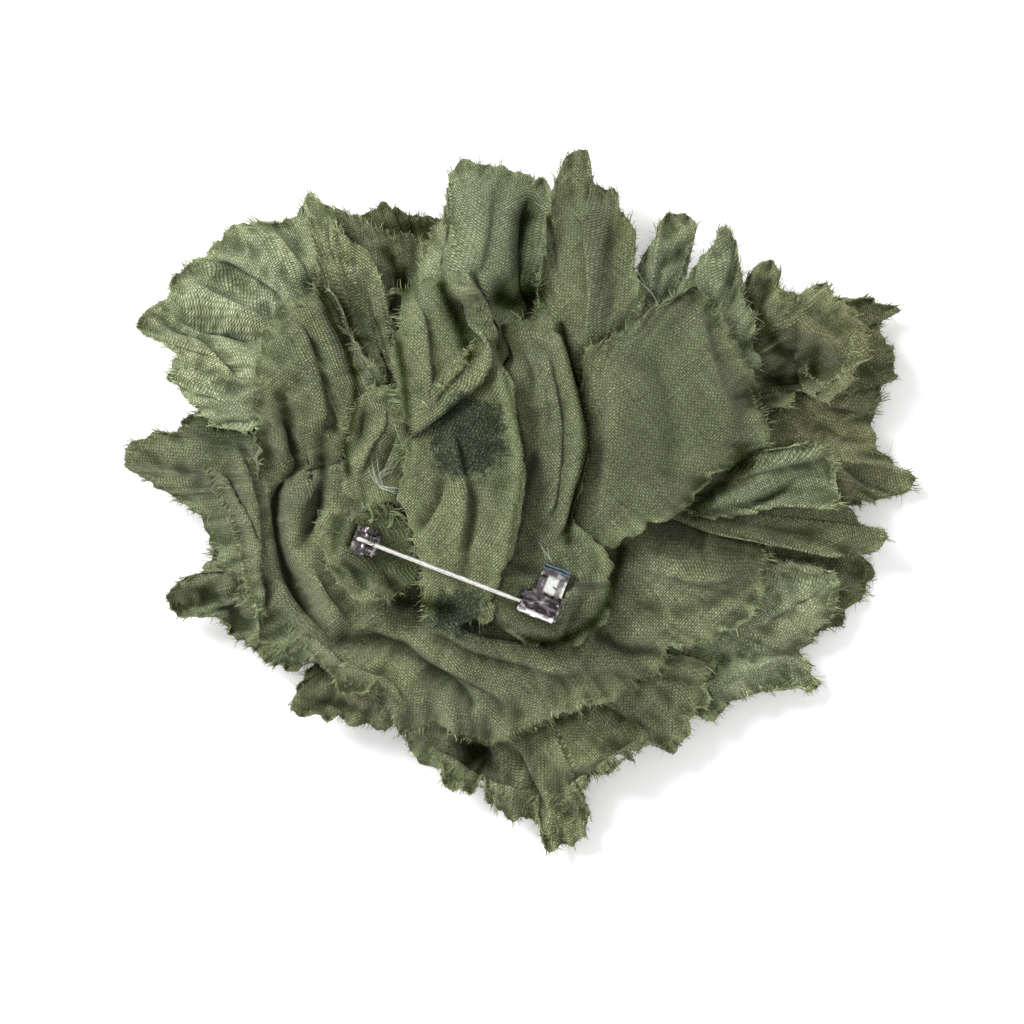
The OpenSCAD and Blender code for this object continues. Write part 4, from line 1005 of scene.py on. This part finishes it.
class Tree:
    """A material's nodes, added with their inputs in one line each."""

    def __init__(self, name):
        self.material = bpy.data.materials.new(name)
        self.material.use_nodes = True
        self.tree = self.material.node_tree
        self.tree.nodes.clear()

    def add(self, kind, inputs, **settings):
        node = self.tree.nodes.new("ShaderNode" + kind)
        for key, value in settings.items():
            setattr(node, key, value)
        for key, value in inputs.items():
            if isinstance(value, bpy.types.NodeSocket):
                self.tree.links.new(value, node.inputs[key])
            else:
                node.inputs[key].default_value = value
        return node.outputs

    def math(self, operation, *values):
        return self.add("Math", dict(enumerate(values)), operation=operation)[0]

    def times(self, a, b):
        return self.math("MULTIPLY", a, b)

    def plus(self, a, b):
        return self.math("ADD", a, b)

    def less(self, value):
        """What the value leaves of one."""
        return self.math("SUBTRACT", 1.0, value)

    def line(self, value, slope, start):
        return self.math("MULTIPLY_ADD", value, slope, start)

    def split(self, vector):
        return self.add("SeparateXYZ", {0: vector})

    def world_mm(self):
        """Place in the frame, in millimetres."""
        world = self.add("TexCoord", {})["Object"]
        return self.add("VectorMath", {0: world, 3: 1000.0}, operation="SCALE")[0]

    def attribute(self, name):
        return self.add("Attribute", {}, attribute_name=name)["Vector"]

    def noise(self, vector, scale, detail=2.0, rough=0.5):
        inputs = {"Vector": vector, "Scale": scale, "Detail": detail, "Roughness": rough}
        return self.add("TexNoise", inputs)["Fac"]

    def point(self, x, y, z=0.0):
        return self.add("CombineXYZ", {"X": x, "Y": y, "Z": z})[0]

    def ramp(self, value, low, high, to_low=0.0, to_high=1.0):
        """The value eased from one range to another."""
        inputs = {"Value": value, "From Min": low, "From Max": high, "To Min": to_low, "To Max": to_high}
        return self.add("MapRange", inputs, interpolation_type="SMOOTHSTEP")["Result"]

    def blend(self, share, a, b):
        return self.add("Mix", {"Factor": share, 6: a, 7: b}, data_type="RGBA")[2]

    def close(self, shader):
        self.add("OutputMaterial", {"Surface": shader})
        return self.material


def tinted(colour, hue):
    return (*(c * w for c, w in zip(colour, hue)), 1)


def gauze(name, colour, rim_colour):
    """Open plain weave with slubs, pinholes, stains and lighter raw edges, darkened by the painted shade
    that each mesh carries.
    """
    t = Tree(name)
    weave = t.split(t.attribute("weave"))
    u, v, rim = weave[0], weave[1], weave[2]
    tone_and_painted_shade = t.attribute("tone_and_painted_shade")
    place_mm = t.world_mm()
    flat = t.point(u, v)

    def wander(at, off):
        return t.line(t.noise(t.point(*at, off), 0.3, 1.0), 0.5, -0.25)

    def rows(across, off):
        """Threads side by side: how far each point is up their round tops, signed by turns."""
        moved = t.plus(across, wander((u, v), off))
        return t.math("SINE", t.times(moved, math.pi / WEAVE))

    def gap(thread):
        return t.ramp(t.less(t.math("ABSOLUTE", thread)), 0.15, 0.9)

    warp, weft = rows(u, 0.0), rows(v, 30.0)
    gap_u, gap_v = gap(warp), gap(weft)
    hole = t.times(gap_u, gap_v)
    slub_u = t.noise(t.point(t.times(u, SLUB_ACROSS), t.times(v, SLUB_ALONG)), 1.0, 2.0)
    slub_v = t.noise(t.point(t.times(u, SLUB_ALONG), t.times(v, SLUB_ACROSS), 9.0), 1.0, 2.0)
    slub = t.plus(slub_u, slub_v)
    cloud = t.noise(place_mm, 0.075, 3.0, 0.6)
    fleck = t.noise(flat, 2.6, 3.0, 0.75)
    # Which of the two sets of threads stands out changes over the cloth
    share = t.ramp(t.noise(flat, 0.11, 2.0), 0.38, 0.62)
    over = t.line(t.times(warp, weft), 0.5, 0.5)
    tone = t.times(
        t.less(t.times(gap_u, t.line(share, 0.24, 0.30))),
        t.less(t.times(gap_v, t.line(share, -0.24, 0.54))))
    tone = t.times(tone, t.less(t.times(hole, 0.92)))
    for value, slope, start in ((over, 0.85, 1.14), (slub, 0.8, 0.2), (cloud, 0.6, 0.7)):
        tone = t.times(tone, t.line(value, slope, start))
    tone = t.times(tone, t.math("MINIMUM", t.line(fleck, 2.6, -0.28), 1.32))
    patches = t.ramp(t.noise(flat, 0.6, 2.0), 0.3, 0.6, 0.5, 1.3)
    edge = t.times(t.ramp(rim, 0.3, 3.0, 1.0, 0.0), patches)
    body = t.blend(edge, (*colour, 1), (*rim_colour, 1))
    body = t.blend(t.ramp(cloud, 0.42, 0.75), body, tinted(colour, CLOUD_HUE))
    # Painted highlight: the brightest threads take a paler, bluer hue
    body = t.blend(t.ramp(tone, 0.9, 1.9, 0.0, 0.6), body, tinted(rim_colour, THREAD_HIGHLIGHT_HUE))
    upper = t.ramp(t.split(place_mm)[2], *STAIN_Z)
    plan = t.add("VectorMath", {0: place_mm, 1: (1, 1, 0)}, operation="MULTIPLY")[0]
    ragged = t.line(t.noise(place_mm, 0.35, 6.0, 0.75), 9.0, -4.5)
    blots = t.ramp(fleck, 0.45, 0.7, 0.97, 0.6)
    stained = 0.0
    for x, y, size in STAINS:
        away = t.add("VectorMath", {0: plan, 1: (x, y, 0)}, operation="DISTANCE")["Value"]
        away = t.plus(away, ragged)
        wet = t.times(t.ramp(away, size - 1.2, size + 0.5, 1.0, 0.0), blots)
        wet = t.times(wet, upper)
        body = t.blend(wet, body, STAIN_COLOUR)
        stained = t.math("MAXIMUM", stained, wet)
    gloss = t.line(stained, -0.32, 0.4)
    # Gloss fades and the colour darkens where the mesh's painted shade is deep
    gloss = t.times(gloss, t.ramp(t.split(tone_and_painted_shade)[0], 0.1, 0.9))
    body = t.add("VectorMath", {0: body, 1: tone_and_painted_shade}, operation="MULTIPLY")[0]
    body = t.add("VectorMath", {0: body, 3: tone}, operation="SCALE")[0]
    height = t.math("SUBTRACT", t.plus(over, slub), t.plus(gap_u, gap_v))
    normal = t.add("Bump", {"Height": height, "Strength": 0.9, "Distance": 0.00008})[0]
    cloth = t.add("BsdfPrincipled", {
        "Base Color": body, "Roughness": 0.85, "Specular IOR Level": gloss,
        "Sheen Weight": t.times(gloss, 0.4), "Sheen Roughness": 0.5, "Normal": normal})[0]
    through = t.add("BsdfTranslucent", {"Color": body, "Normal": normal})[0]
    return t.close(t.add("MixShader", {0: GLOW, 1: cloth, 2: through})[0])


def steel(name, colour, worn_colour, rough):
    """Dark plate, dented and worn in places. A painted highlight runs along the hood's near edge, and
    painted reflections make the strip behind the hood paler; its lip is bluer.

    The ramps along the bar and across it are in millimetres from the rivet.
    """
    t = Tree(name)
    mm = t.world_mm()
    turned = t.split(t.add("VectorRotate", {"Vector": mm, "Angle": BAR_TURN}, rotation_type="Z_AXIS")[0])
    along = t.math("SUBTRACT", turned[0], float(ON_BAR_X))
    across = t.math("SUBTRACT", turned[1], float(ON_BAR_Y))
    worn = t.ramp(t.noise(mm, 0.9, 3.0, 0.5), 0.50, 0.66)
    body = t.blend(worn, (*colour, 1), (*worn_colour, 1))
    # Painted highlight along the near edge of the hood
    catch = t.ramp(along, 20.0, 21.0)
    painted_hood_highlight = t.times(catch, t.ramp(across, -1.0, -0.5, 0.9, 0.0))
    body = t.blend(painted_hood_highlight, body, (0.80, 0.77, 0.77, 1))
    # Painted reflections on the strip behind the hood, pale in two stretches along it, stopping short of the
    # lip
    strip = t.times(t.ramp(across, 2.0, 2.6), t.ramp(across, 4.2, 4.9, 1.0, 0.0))
    painted_strip_reflection = t.times(t.ramp(along, 25.0, 25.4), t.ramp(along, 26.6, 26.9, 1.0, 0.15))
    painted_strip_reflection = t.math("MAXIMUM", painted_strip_reflection, t.ramp(along, 27.4, 27.7))
    body = t.blend(t.times(strip, painted_strip_reflection), body, (0.72, 0.74, 0.68, 1))
    body = t.blend(t.ramp(across, 5.2, 5.7), body, (0.16, 0.21, 0.25, 1))
    normal = t.add("Bump", {"Height": t.noise(mm, 0.7, 1.0, 0.4), "Strength": 0.7, "Distance": 0.0006})[0]
    return t.close(t.add("BsdfPrincipled", {
        "Base Color": body, "Metallic": 1.0, "Roughness": t.line(worn, 0.08, rough - 0.04),
        "Normal": normal})[0])


# Main colours and edge colours of the four gauzes
GAUZES = {
    "gauze_deep": ((0.101, 0.116, 0.052), (0.170, 0.195, 0.088)),
    "gauze_mid": ((0.119, 0.136, 0.061), (0.192, 0.220, 0.098)),
    "gauze_pale": ((0.152, 0.177, 0.090), (0.225, 0.257, 0.124)),
    "gauze_olive": ((0.114, 0.119, 0.051), (0.184, 0.200, 0.086)),
}
CLOTH = {name: gauze(name + "_weave", *colours) for name, colours in GAUZES.items()}

# Brighter and darker spots, partly uneven tone and partly painted shade and painted light: where in
# thousandths of the layout, how wide, and the brightness there
TONE_AND_SHADE_SPOTS = [
    (690, 590, 80, 1.36), (760, 640, 60, 1.08), (225, 290, 70, 1.1), (480, 230, 45, 1.08),
    (545, 400, 45, 1.06), (850, 400, 50, 1.02), (470, 420, 40, 0.9), (400, 590, 40, 0.9),
    (560, 700, 70, 1.12), (400, 640, 90, 1.08), (200, 590, 45, 0.9), (820, 372, 16, 1.2),
    (650, 600, 60, 1.12), (800, 330, 50, 1.12), (345, 270, 45, 1.12), (850, 450, 50, 1.08),
    (560, 745, 20, 1.1), (610, 640, 16, 0.8), (378, 532, 8, 0.5), (325, 500, 16, 1.2),
]

# Painted shade in the deep folds: how dark, how wide, and the line, in thousandths of the layout
SHADES = [
    (0.85, 5, (562, 325, 568, 352, 576, 382, 585, 430, 583, 465, 574, 500, 568, 542)),
    (0.85, 8, (622, 548, 617, 572, 607, 602, 590, 624, 560, 640, 528, 640)),
    (0.85, 11, (695, 506, 715, 490, 740, 462)),
    (0.50, 5, (695, 515, 745, 503, 800, 490)),
    (0.35, 4, (695, 516, 770, 527, 850, 548)),
    (0.82, 10, (768, 378, 790, 384, 812, 372)),
    (0.70, 9, (756, 300, 768, 325, 778, 345)),
    (0.60, 8, (762, 395, 768, 420)),
    (0.60, 16, (530, 205, 526, 240, 527, 280, 527, 310)),
    (0.70, 12, (385, 228, 425, 226)),
    (0.80, 9, (385, 250, 398, 272, 404, 288)),
    (0.80, 5, (320, 288, 330, 320, 346, 350, 356, 385, 353, 420, 346, 450, 350, 475)),
    (0.70, 5, (392, 290, 393, 340)),
    (0.80, 5, (398, 345, 404, 375, 408, 405, 409, 432)),
    (0.92, 8, (442, 287, 452, 312, 461, 335, 469, 357)),
    (0.65, 4, (474, 300, 487, 325, 498, 350, 508, 385, 517, 420, 524, 450, 522, 480, 515, 520, 508, 560)),
    (0.93, 16, (503, 297, 516, 301, 531, 292)),
    (0.40, 6, (286, 400, 291, 465, 277, 500, 285, 560, 300, 605, 330, 640)),
    (0.25, 5, (316, 440, 321, 480, 306, 540)),
    (0.80, 10, (400, 602, 425, 604, 450, 608)),
    (0.70, 13, (462, 742, 475, 755, 492, 768)),
    (0.50, 6, (500, 742, 540, 728, 585, 712)),
]


def spot_and_fold_shade(f):
    """Brightness at each point: brighter and darker spots, partly painted shade and painted light, and
    painted shade along the deep folds.
    """
    tone = np.ones_like(f.x)
    if f.ring:
        return tone
    # Spots of uneven tone, painted shade and painted light
    for x, y, size, change in TONE_AND_SHADE_SPOTS:
        tone *= 1 + (change - 1) * np.exp(-((f.x * 1000 - x) ** 2 + (f.y * 1000 - y) ** 2) / size**2)
    # Painted shade along the deep folds
    for dark, size, line in SHADES:
        line = traced(line, 4)
        near = np.min([gap_to(f.x, f.y, *a, *b)[0] for a, b in zip(line[:-1], line[1:])], axis=0)
        tone *= 1 - dark * np.exp(-((near * 1000 / size) ** 2))
    return tone


# Brightness of single sheets, where it isn't that of their gauze
TONES = {
    "upper_left": 1.34, "left_inner": 0.86, "top": 1.08, "broad": 1.03,
    "sweep": 1.14, "right_low": 1.26, "right_mid": 1.0, "bottom": 1.12,
    "right_back": 1.2, "point": 0.92, "pleat": 1.12, "roll": 1.08,
    "gather_middle": 1.03, "top_shade": 1.1, "far_top": 0.75,
}

# Sheets that cover the bar, and the windows in them that its ends come through, along and across
OVER_BAR = ("gather_left", "hinge_patch", "gather_middle")
WINDOWS = [(-0.3, 3.2, -1.5, 1.5), (24.6, 29.7, -0.9, 1.5), (25.9, 29.7, 0.2, 6.7)]
OVER_H = (0.4, 2.1)
OVER_EASE = 2.2
WINDOW_EASE = 0.5

# How dark cloth is right under other cloth, and how much room lets in all the light
SHADE_LEAST = 0.42
SHADE_ROOM = 3


# Sheets, from the pin down to the table

def dress(f):
    """Builds a sheet and its frayed edge."""
    tone = TONES.get(f.name, 1.0)
    ob, p, flat = shell(f, CLOTH[f.slot], tone)
    extra = [frays(f, p, flat, CLOTH[f.slot], tone)]
    low, high = flat.reshape(-1, 2).min(0), flat.reshape(-1, 2).max(0)
    area = np.linalg.norm(cell_normals(p), axis=2).sum()
    wide, long = high - low
    if f.ring:
        wide = long = 2 * f.out.max()
    stretch = math.sqrt(max(1, area / (FLAT_SHARE * wide * long)))
    wide, long = max(wide * stretch, FLAT_LEAST), max(long * stretch, FLAT_LEAST)
    area = max(area, AREA_LEAST * wide * long)
    return ob


stack = Stack()
sheets = []
seed = 100


def lay(f):
    """Crushes a sheet, presses it under the cloth laid so far and over the bar, and rolls its edge."""
    crumple(f)
    crease(f)
    room = 9 + 0 * f.z
    if f.name != "gather_left":
        room = stack.press(f)
    f.shade = 1 if f.ring else mix(SHADE_LEAST, 1, ease(room / SHADE_ROOM))
    if f.name == "sweep":
        f.shade = mix(f.shade, 1, np.exp(-((gap_to(f.x, f.y, *SEAM)[0] / SEAM_W) ** 2)))
    if f.name in OVER_BAR:
        over = ease((bar_share(f, 0, BAR_L, -BAR_W / 2, BAR_W / 2) + OVER_EASE) / OVER_EASE)
        if f.name != "gather_left":
            for window in WINDOWS:
                over = over * (1 - ease((bar_share(f, *window) + WINDOW_EASE) / WINDOW_EASE))
        low, high = (BAR_Z + BAR_T + h for h in OVER_H)
        f.z = mix(f.z, np.clip(f.z, low, high), over)
    if hasattr(f, "turn"):
        roll_edge(f, room)
    f.z = np.maximum(f.z, CLOTH_T)
    stack.add(f)
    sink = SINKS.get(f.name, 0) * np.exp(-f.s / SINK_W)
    f.z, f.drop = f.z - sink, f.drop + sink
    sheets.append(f)


def pad_down():
    """Thickens the sheets near the middle down to the cloth below, as the plies pack there."""
    below = np.zeros_like(stack.low)
    for f in reversed(sheets):
        at = stack.nearest(*place(f.x, f.y))
        outer = ease((hub_spread(f.x, f.y) - PAD_INNER) / (PAD_OUTER - PAD_INNER))
        inner = ease((f.rim - PAD_RIM) / PAD_EASE) * (1 - outer)
        if not f.ring:
            f.pad = np.clip(f.z - below[at] - CLEAR, 0, PAD_MOST) * inner
        own = np.zeros_like(below)
        np.maximum.at(own, at, f.z)
        for axis in (0, 1):
            own = np.maximum(own, np.maximum(np.roll(own, 1, axis), np.roll(own, -1, axis)))
        below = np.maximum(below, own)


def lay_bar():
    """The bar lies right under the first strip, so the other sheets press on it too."""
    bar = np.stack(np.meshgrid(np.linspace(0, BAR_L, 90), np.linspace(-BAR_W / 2, BAR_W / 2, 14)), -1)
    np.minimum.at(stack.low, stack.nearest(*on_bar(bar)), BAR_Z + 0.1)


for name, slot, grain, rows in STRIPS:
    seed += 10
    lay(strip(name, rows, slot, grain, seed))
    if name == "gather_left":
        lay_bar()
for name, root, layer, sag, slot, grain, ribs in FANS:
    seed += 10
    lay(fan(name, root, layer, sag, slot, grain, ribs, seed))
for name, radius, layer, waves, scallop, slot in RUFFLES:
    seed += 10
    lay(ruffle(name, radius, layer, waves, scallop, slot, seed))
pad_down()
for f in sheets:
    dress(f)


# Loose tails of thread: where in thousandths of the layout, the way and the bend, how long, how many
TAILS = [
    (384, 486, (-0.8, 0.4), (0.2, 0.5), 3.4, 7), (380, 478, (0.3, 0.9), (0.5, -0.2), 2.6, 6),
    (384, 486, (0.7, -0.5), (0.4, 0.3), 2.8, 6), (318, 536, (0.3, 1.4), (0.9, -0.7), 3.6, 2),
    (551, 560, (-0.7, 1.0), (0.0, 0.3), 2.6, 5), (630, 259, (0.1, -1.0), (0.6, -0.3), 4.2, 1),
    (657, 306, (-0.2, 1.0), (-0.7, 0.2), 3.4, 1),
]

# The same for the bundles that stand up beside the hinge and at the lower edge
FRIZZ = [
    (352, 520, (-0.2, 1.0), (1.3, -0.6), 3.0, 9), (366, 508, (0.5, 0.9), (0.6, -1.5), 2.8, 9),
    (380, 505, (0.9, 0.4), (-0.4, -1.3), 2.6, 8), (393, 512, (0.8, 0.5), (0.2, -1.4), 2.6, 8),
    (372, 520, (1.0, 0.1), (-0.9, 0.9), 2.4, 8), (388, 527, (0.9, 0.5), (-0.5, 0.8), 2.2, 6),
    (408, 452, (-0.6, 0.8), (-0.3, 0.9), 2.2, 6), (560, 835, (0.6, 0.6), (-1.1, 0.4), 2.6, 9),
    (572, 822, (0.9, -0.2), (-0.6, 1.2), 2.4, 9), (552, 812, (-0.3, 0.9), (1.2, 0.3), 2.2, 8),
]


def top_z(x, y):
    """Height of the topmost cloth near a point of the plan."""
    tops = [0]
    for f in sheets:
        px, py = place(f.x, f.y)
        near = np.hypot(px - x, py - y) < 0.7
        tops.append(f.z[near].max() if near.any() else 0)
    return max(tops)


def tails(name, places, width, material, tone):
    """Bundles of loose thread that start on the topmost cloth."""
    rng = np.random.default_rng(7)
    rows = []
    for x, y, way, bend, length, count in places:
        at = np.array(place(x / 1000, y / 1000))
        for _ in range(count):
            start = at + rng.normal(0, 0.3, 2)
            turn = rng.normal(0, 0.25 if count > 2 else 0.05)
            rows.append((
                (*start, top_z(*start) + 0.1), (way[0] - turn * way[1], way[1] + turn * way[0], 0.5),
                (*bend, -0.5), length * rng.uniform(0.6, 1.1)))
    start, way, bend = (np.array([row[i] for row in rows], float) for i in range(3))
    way = unit(way)
    length = np.array([row[3] for row in rows])
    radius = width * np.linspace(1, 0.6, 9) + 0 * length[:, None]
    threads(name, start, way, bend, length, radius, start[:, :2], material, tone)


pale = Tree("pale_thread")
grain = pale.noise(pale.add("TexCoord", {})["Object"], 900.0, 2.0)
grain = pale.blend(grain, (0.36, 0.40, 0.31, 1), (0.66, 0.69, 0.58, 1))
pale.close(pale.add("BsdfPrincipled", {"Base Color": grain, "Roughness": 0.4})[0])
tails("loose_tails", TAILS, 0.055, pale.material, 1)
tails("hinge_frizz", FRIZZ, 0.075, CLOTH["gauze_mid"], 1.5)


# Bar pin
for name, material in (
    ("bar_base", steel("bar_base_plate", (0.10, 0.085, 0.09), (0.36, 0.33, 0.33), 0.2)),
    ("pin_stem", steel("pin_stem_plate", (0.96, 0.93, 0.89), (0.85, 0.81, 0.76), 0.1)),
):
    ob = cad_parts[name]
    ob.data.materials.clear()
    ob.data.materials.append(material)
    if name == "bar_base":
        bevel = ob.modifiers.new("rounded", "BEVEL")
        bevel.width, bevel.segments, bevel.angle_limit = 0.14 * MM, 3, math.radians(35)


# Table, light and camera
def plane(name, size, at, material):
    """A flat square that belongs to the stage."""
    me = bpy.data.meshes.new(name)
    bm = bmesh.new()
    bmesh.ops.create_grid(bm, x_segments=1, y_segments=1, size=size)
    bm.to_mesh(me)
    bm.free()
    me.materials.append(material)
    ob = bpy.data.objects.new(name, me)
    ob.location = at
    bpy.context.scene.collection.objects.link(ob)
    return ob


paper = Tree("white_paper")
grey = paper.ramp(paper.noise(paper.add("TexCoord", {})["Object"], 6.0, 3.0), 0.3, 0.7, 0.90, 0.93)
paper_body = paper.add("CombineColor", {0: grey, 1: grey, 2: grey})[0]
paper.close(paper.add("AddShader", {
    0: paper.add("BsdfDiffuse", {"Color": paper_body, "Roughness": 0.5})[0],
    1: paper.add("Emission", {"Color": (1, 1, 1, 1), "Strength": TABLE_GLOW})[0]})[0])
plane("table", 3.0, (0, 0, -0.0002), paper.material)

# The studio is bright overhead and dim low down
world = bpy.data.worlds.new("studio")
bpy.context.scene.world = world
world.use_nodes = True
sky = world.node_tree
height = sky.nodes.new("ShaderNodeSeparateXYZ")
ramp = sky.nodes.new("ShaderNodeValToRGB")
sky.links.new(sky.nodes.new("ShaderNodeTexCoord").outputs["Generated"], height.inputs[0])
sky.links.new(height.outputs["Z"], ramp.inputs["Fac"])
sky.links.new(ramp.outputs["Color"], sky.nodes["Background"].inputs["Color"])
sky.nodes["Background"].inputs["Strength"].default_value = WORLD_LIGHT
ramp.color_ramp.elements[0].color = (0.15, 0.15, 0.15, 1)
ramp.color_ramp.elements[1].color = (1.8, 1.8, 1.8, 1)
ramp.color_ramp.elements.new(0.4).color = (1.0, 1.0, 1.0, 1)
ramp.color_ramp.elements.new(0.88).color = (1.0, 1.0, 1.0, 1)


def soft_light(name, at, size, power):
    light = bpy.data.lights.new(name, "AREA")
    light.shape = "DISK"
    light.size = size
    light.energy = power
    ob = bpy.data.objects.new(name, light)
    ob.location = at
    ob.rotation_euler = (-Vector(at)).to_track_quat("-Z", "Y").to_euler()
    bpy.context.scene.collection.objects.link(ob)


soft_light("window", (-0.95, 0.75, 1.15), 0.7, KEY_POWER)

camera = bpy.data.cameras.new("camera")
eye = bpy.data.objects.new("camera", camera)
eye.location = (CAMERA_AT[0] * MM, CAMERA_AT[1] * MM, CAMERA_FAR)
camera.sensor_width = SENSOR_W
camera.lens = SENSOR_W * (CAMERA_FAR - VIEW_H * MM) / (VIEW_W * MM)
camera.clip_start = 0.05
camera.clip_end = 20
bpy.context.scene.collection.objects.link(eye)
bpy.context.scene.camera = eye
bpy.context.scene.view_settings.view_transform = "Standard"

bpy.context.view_layer.update()
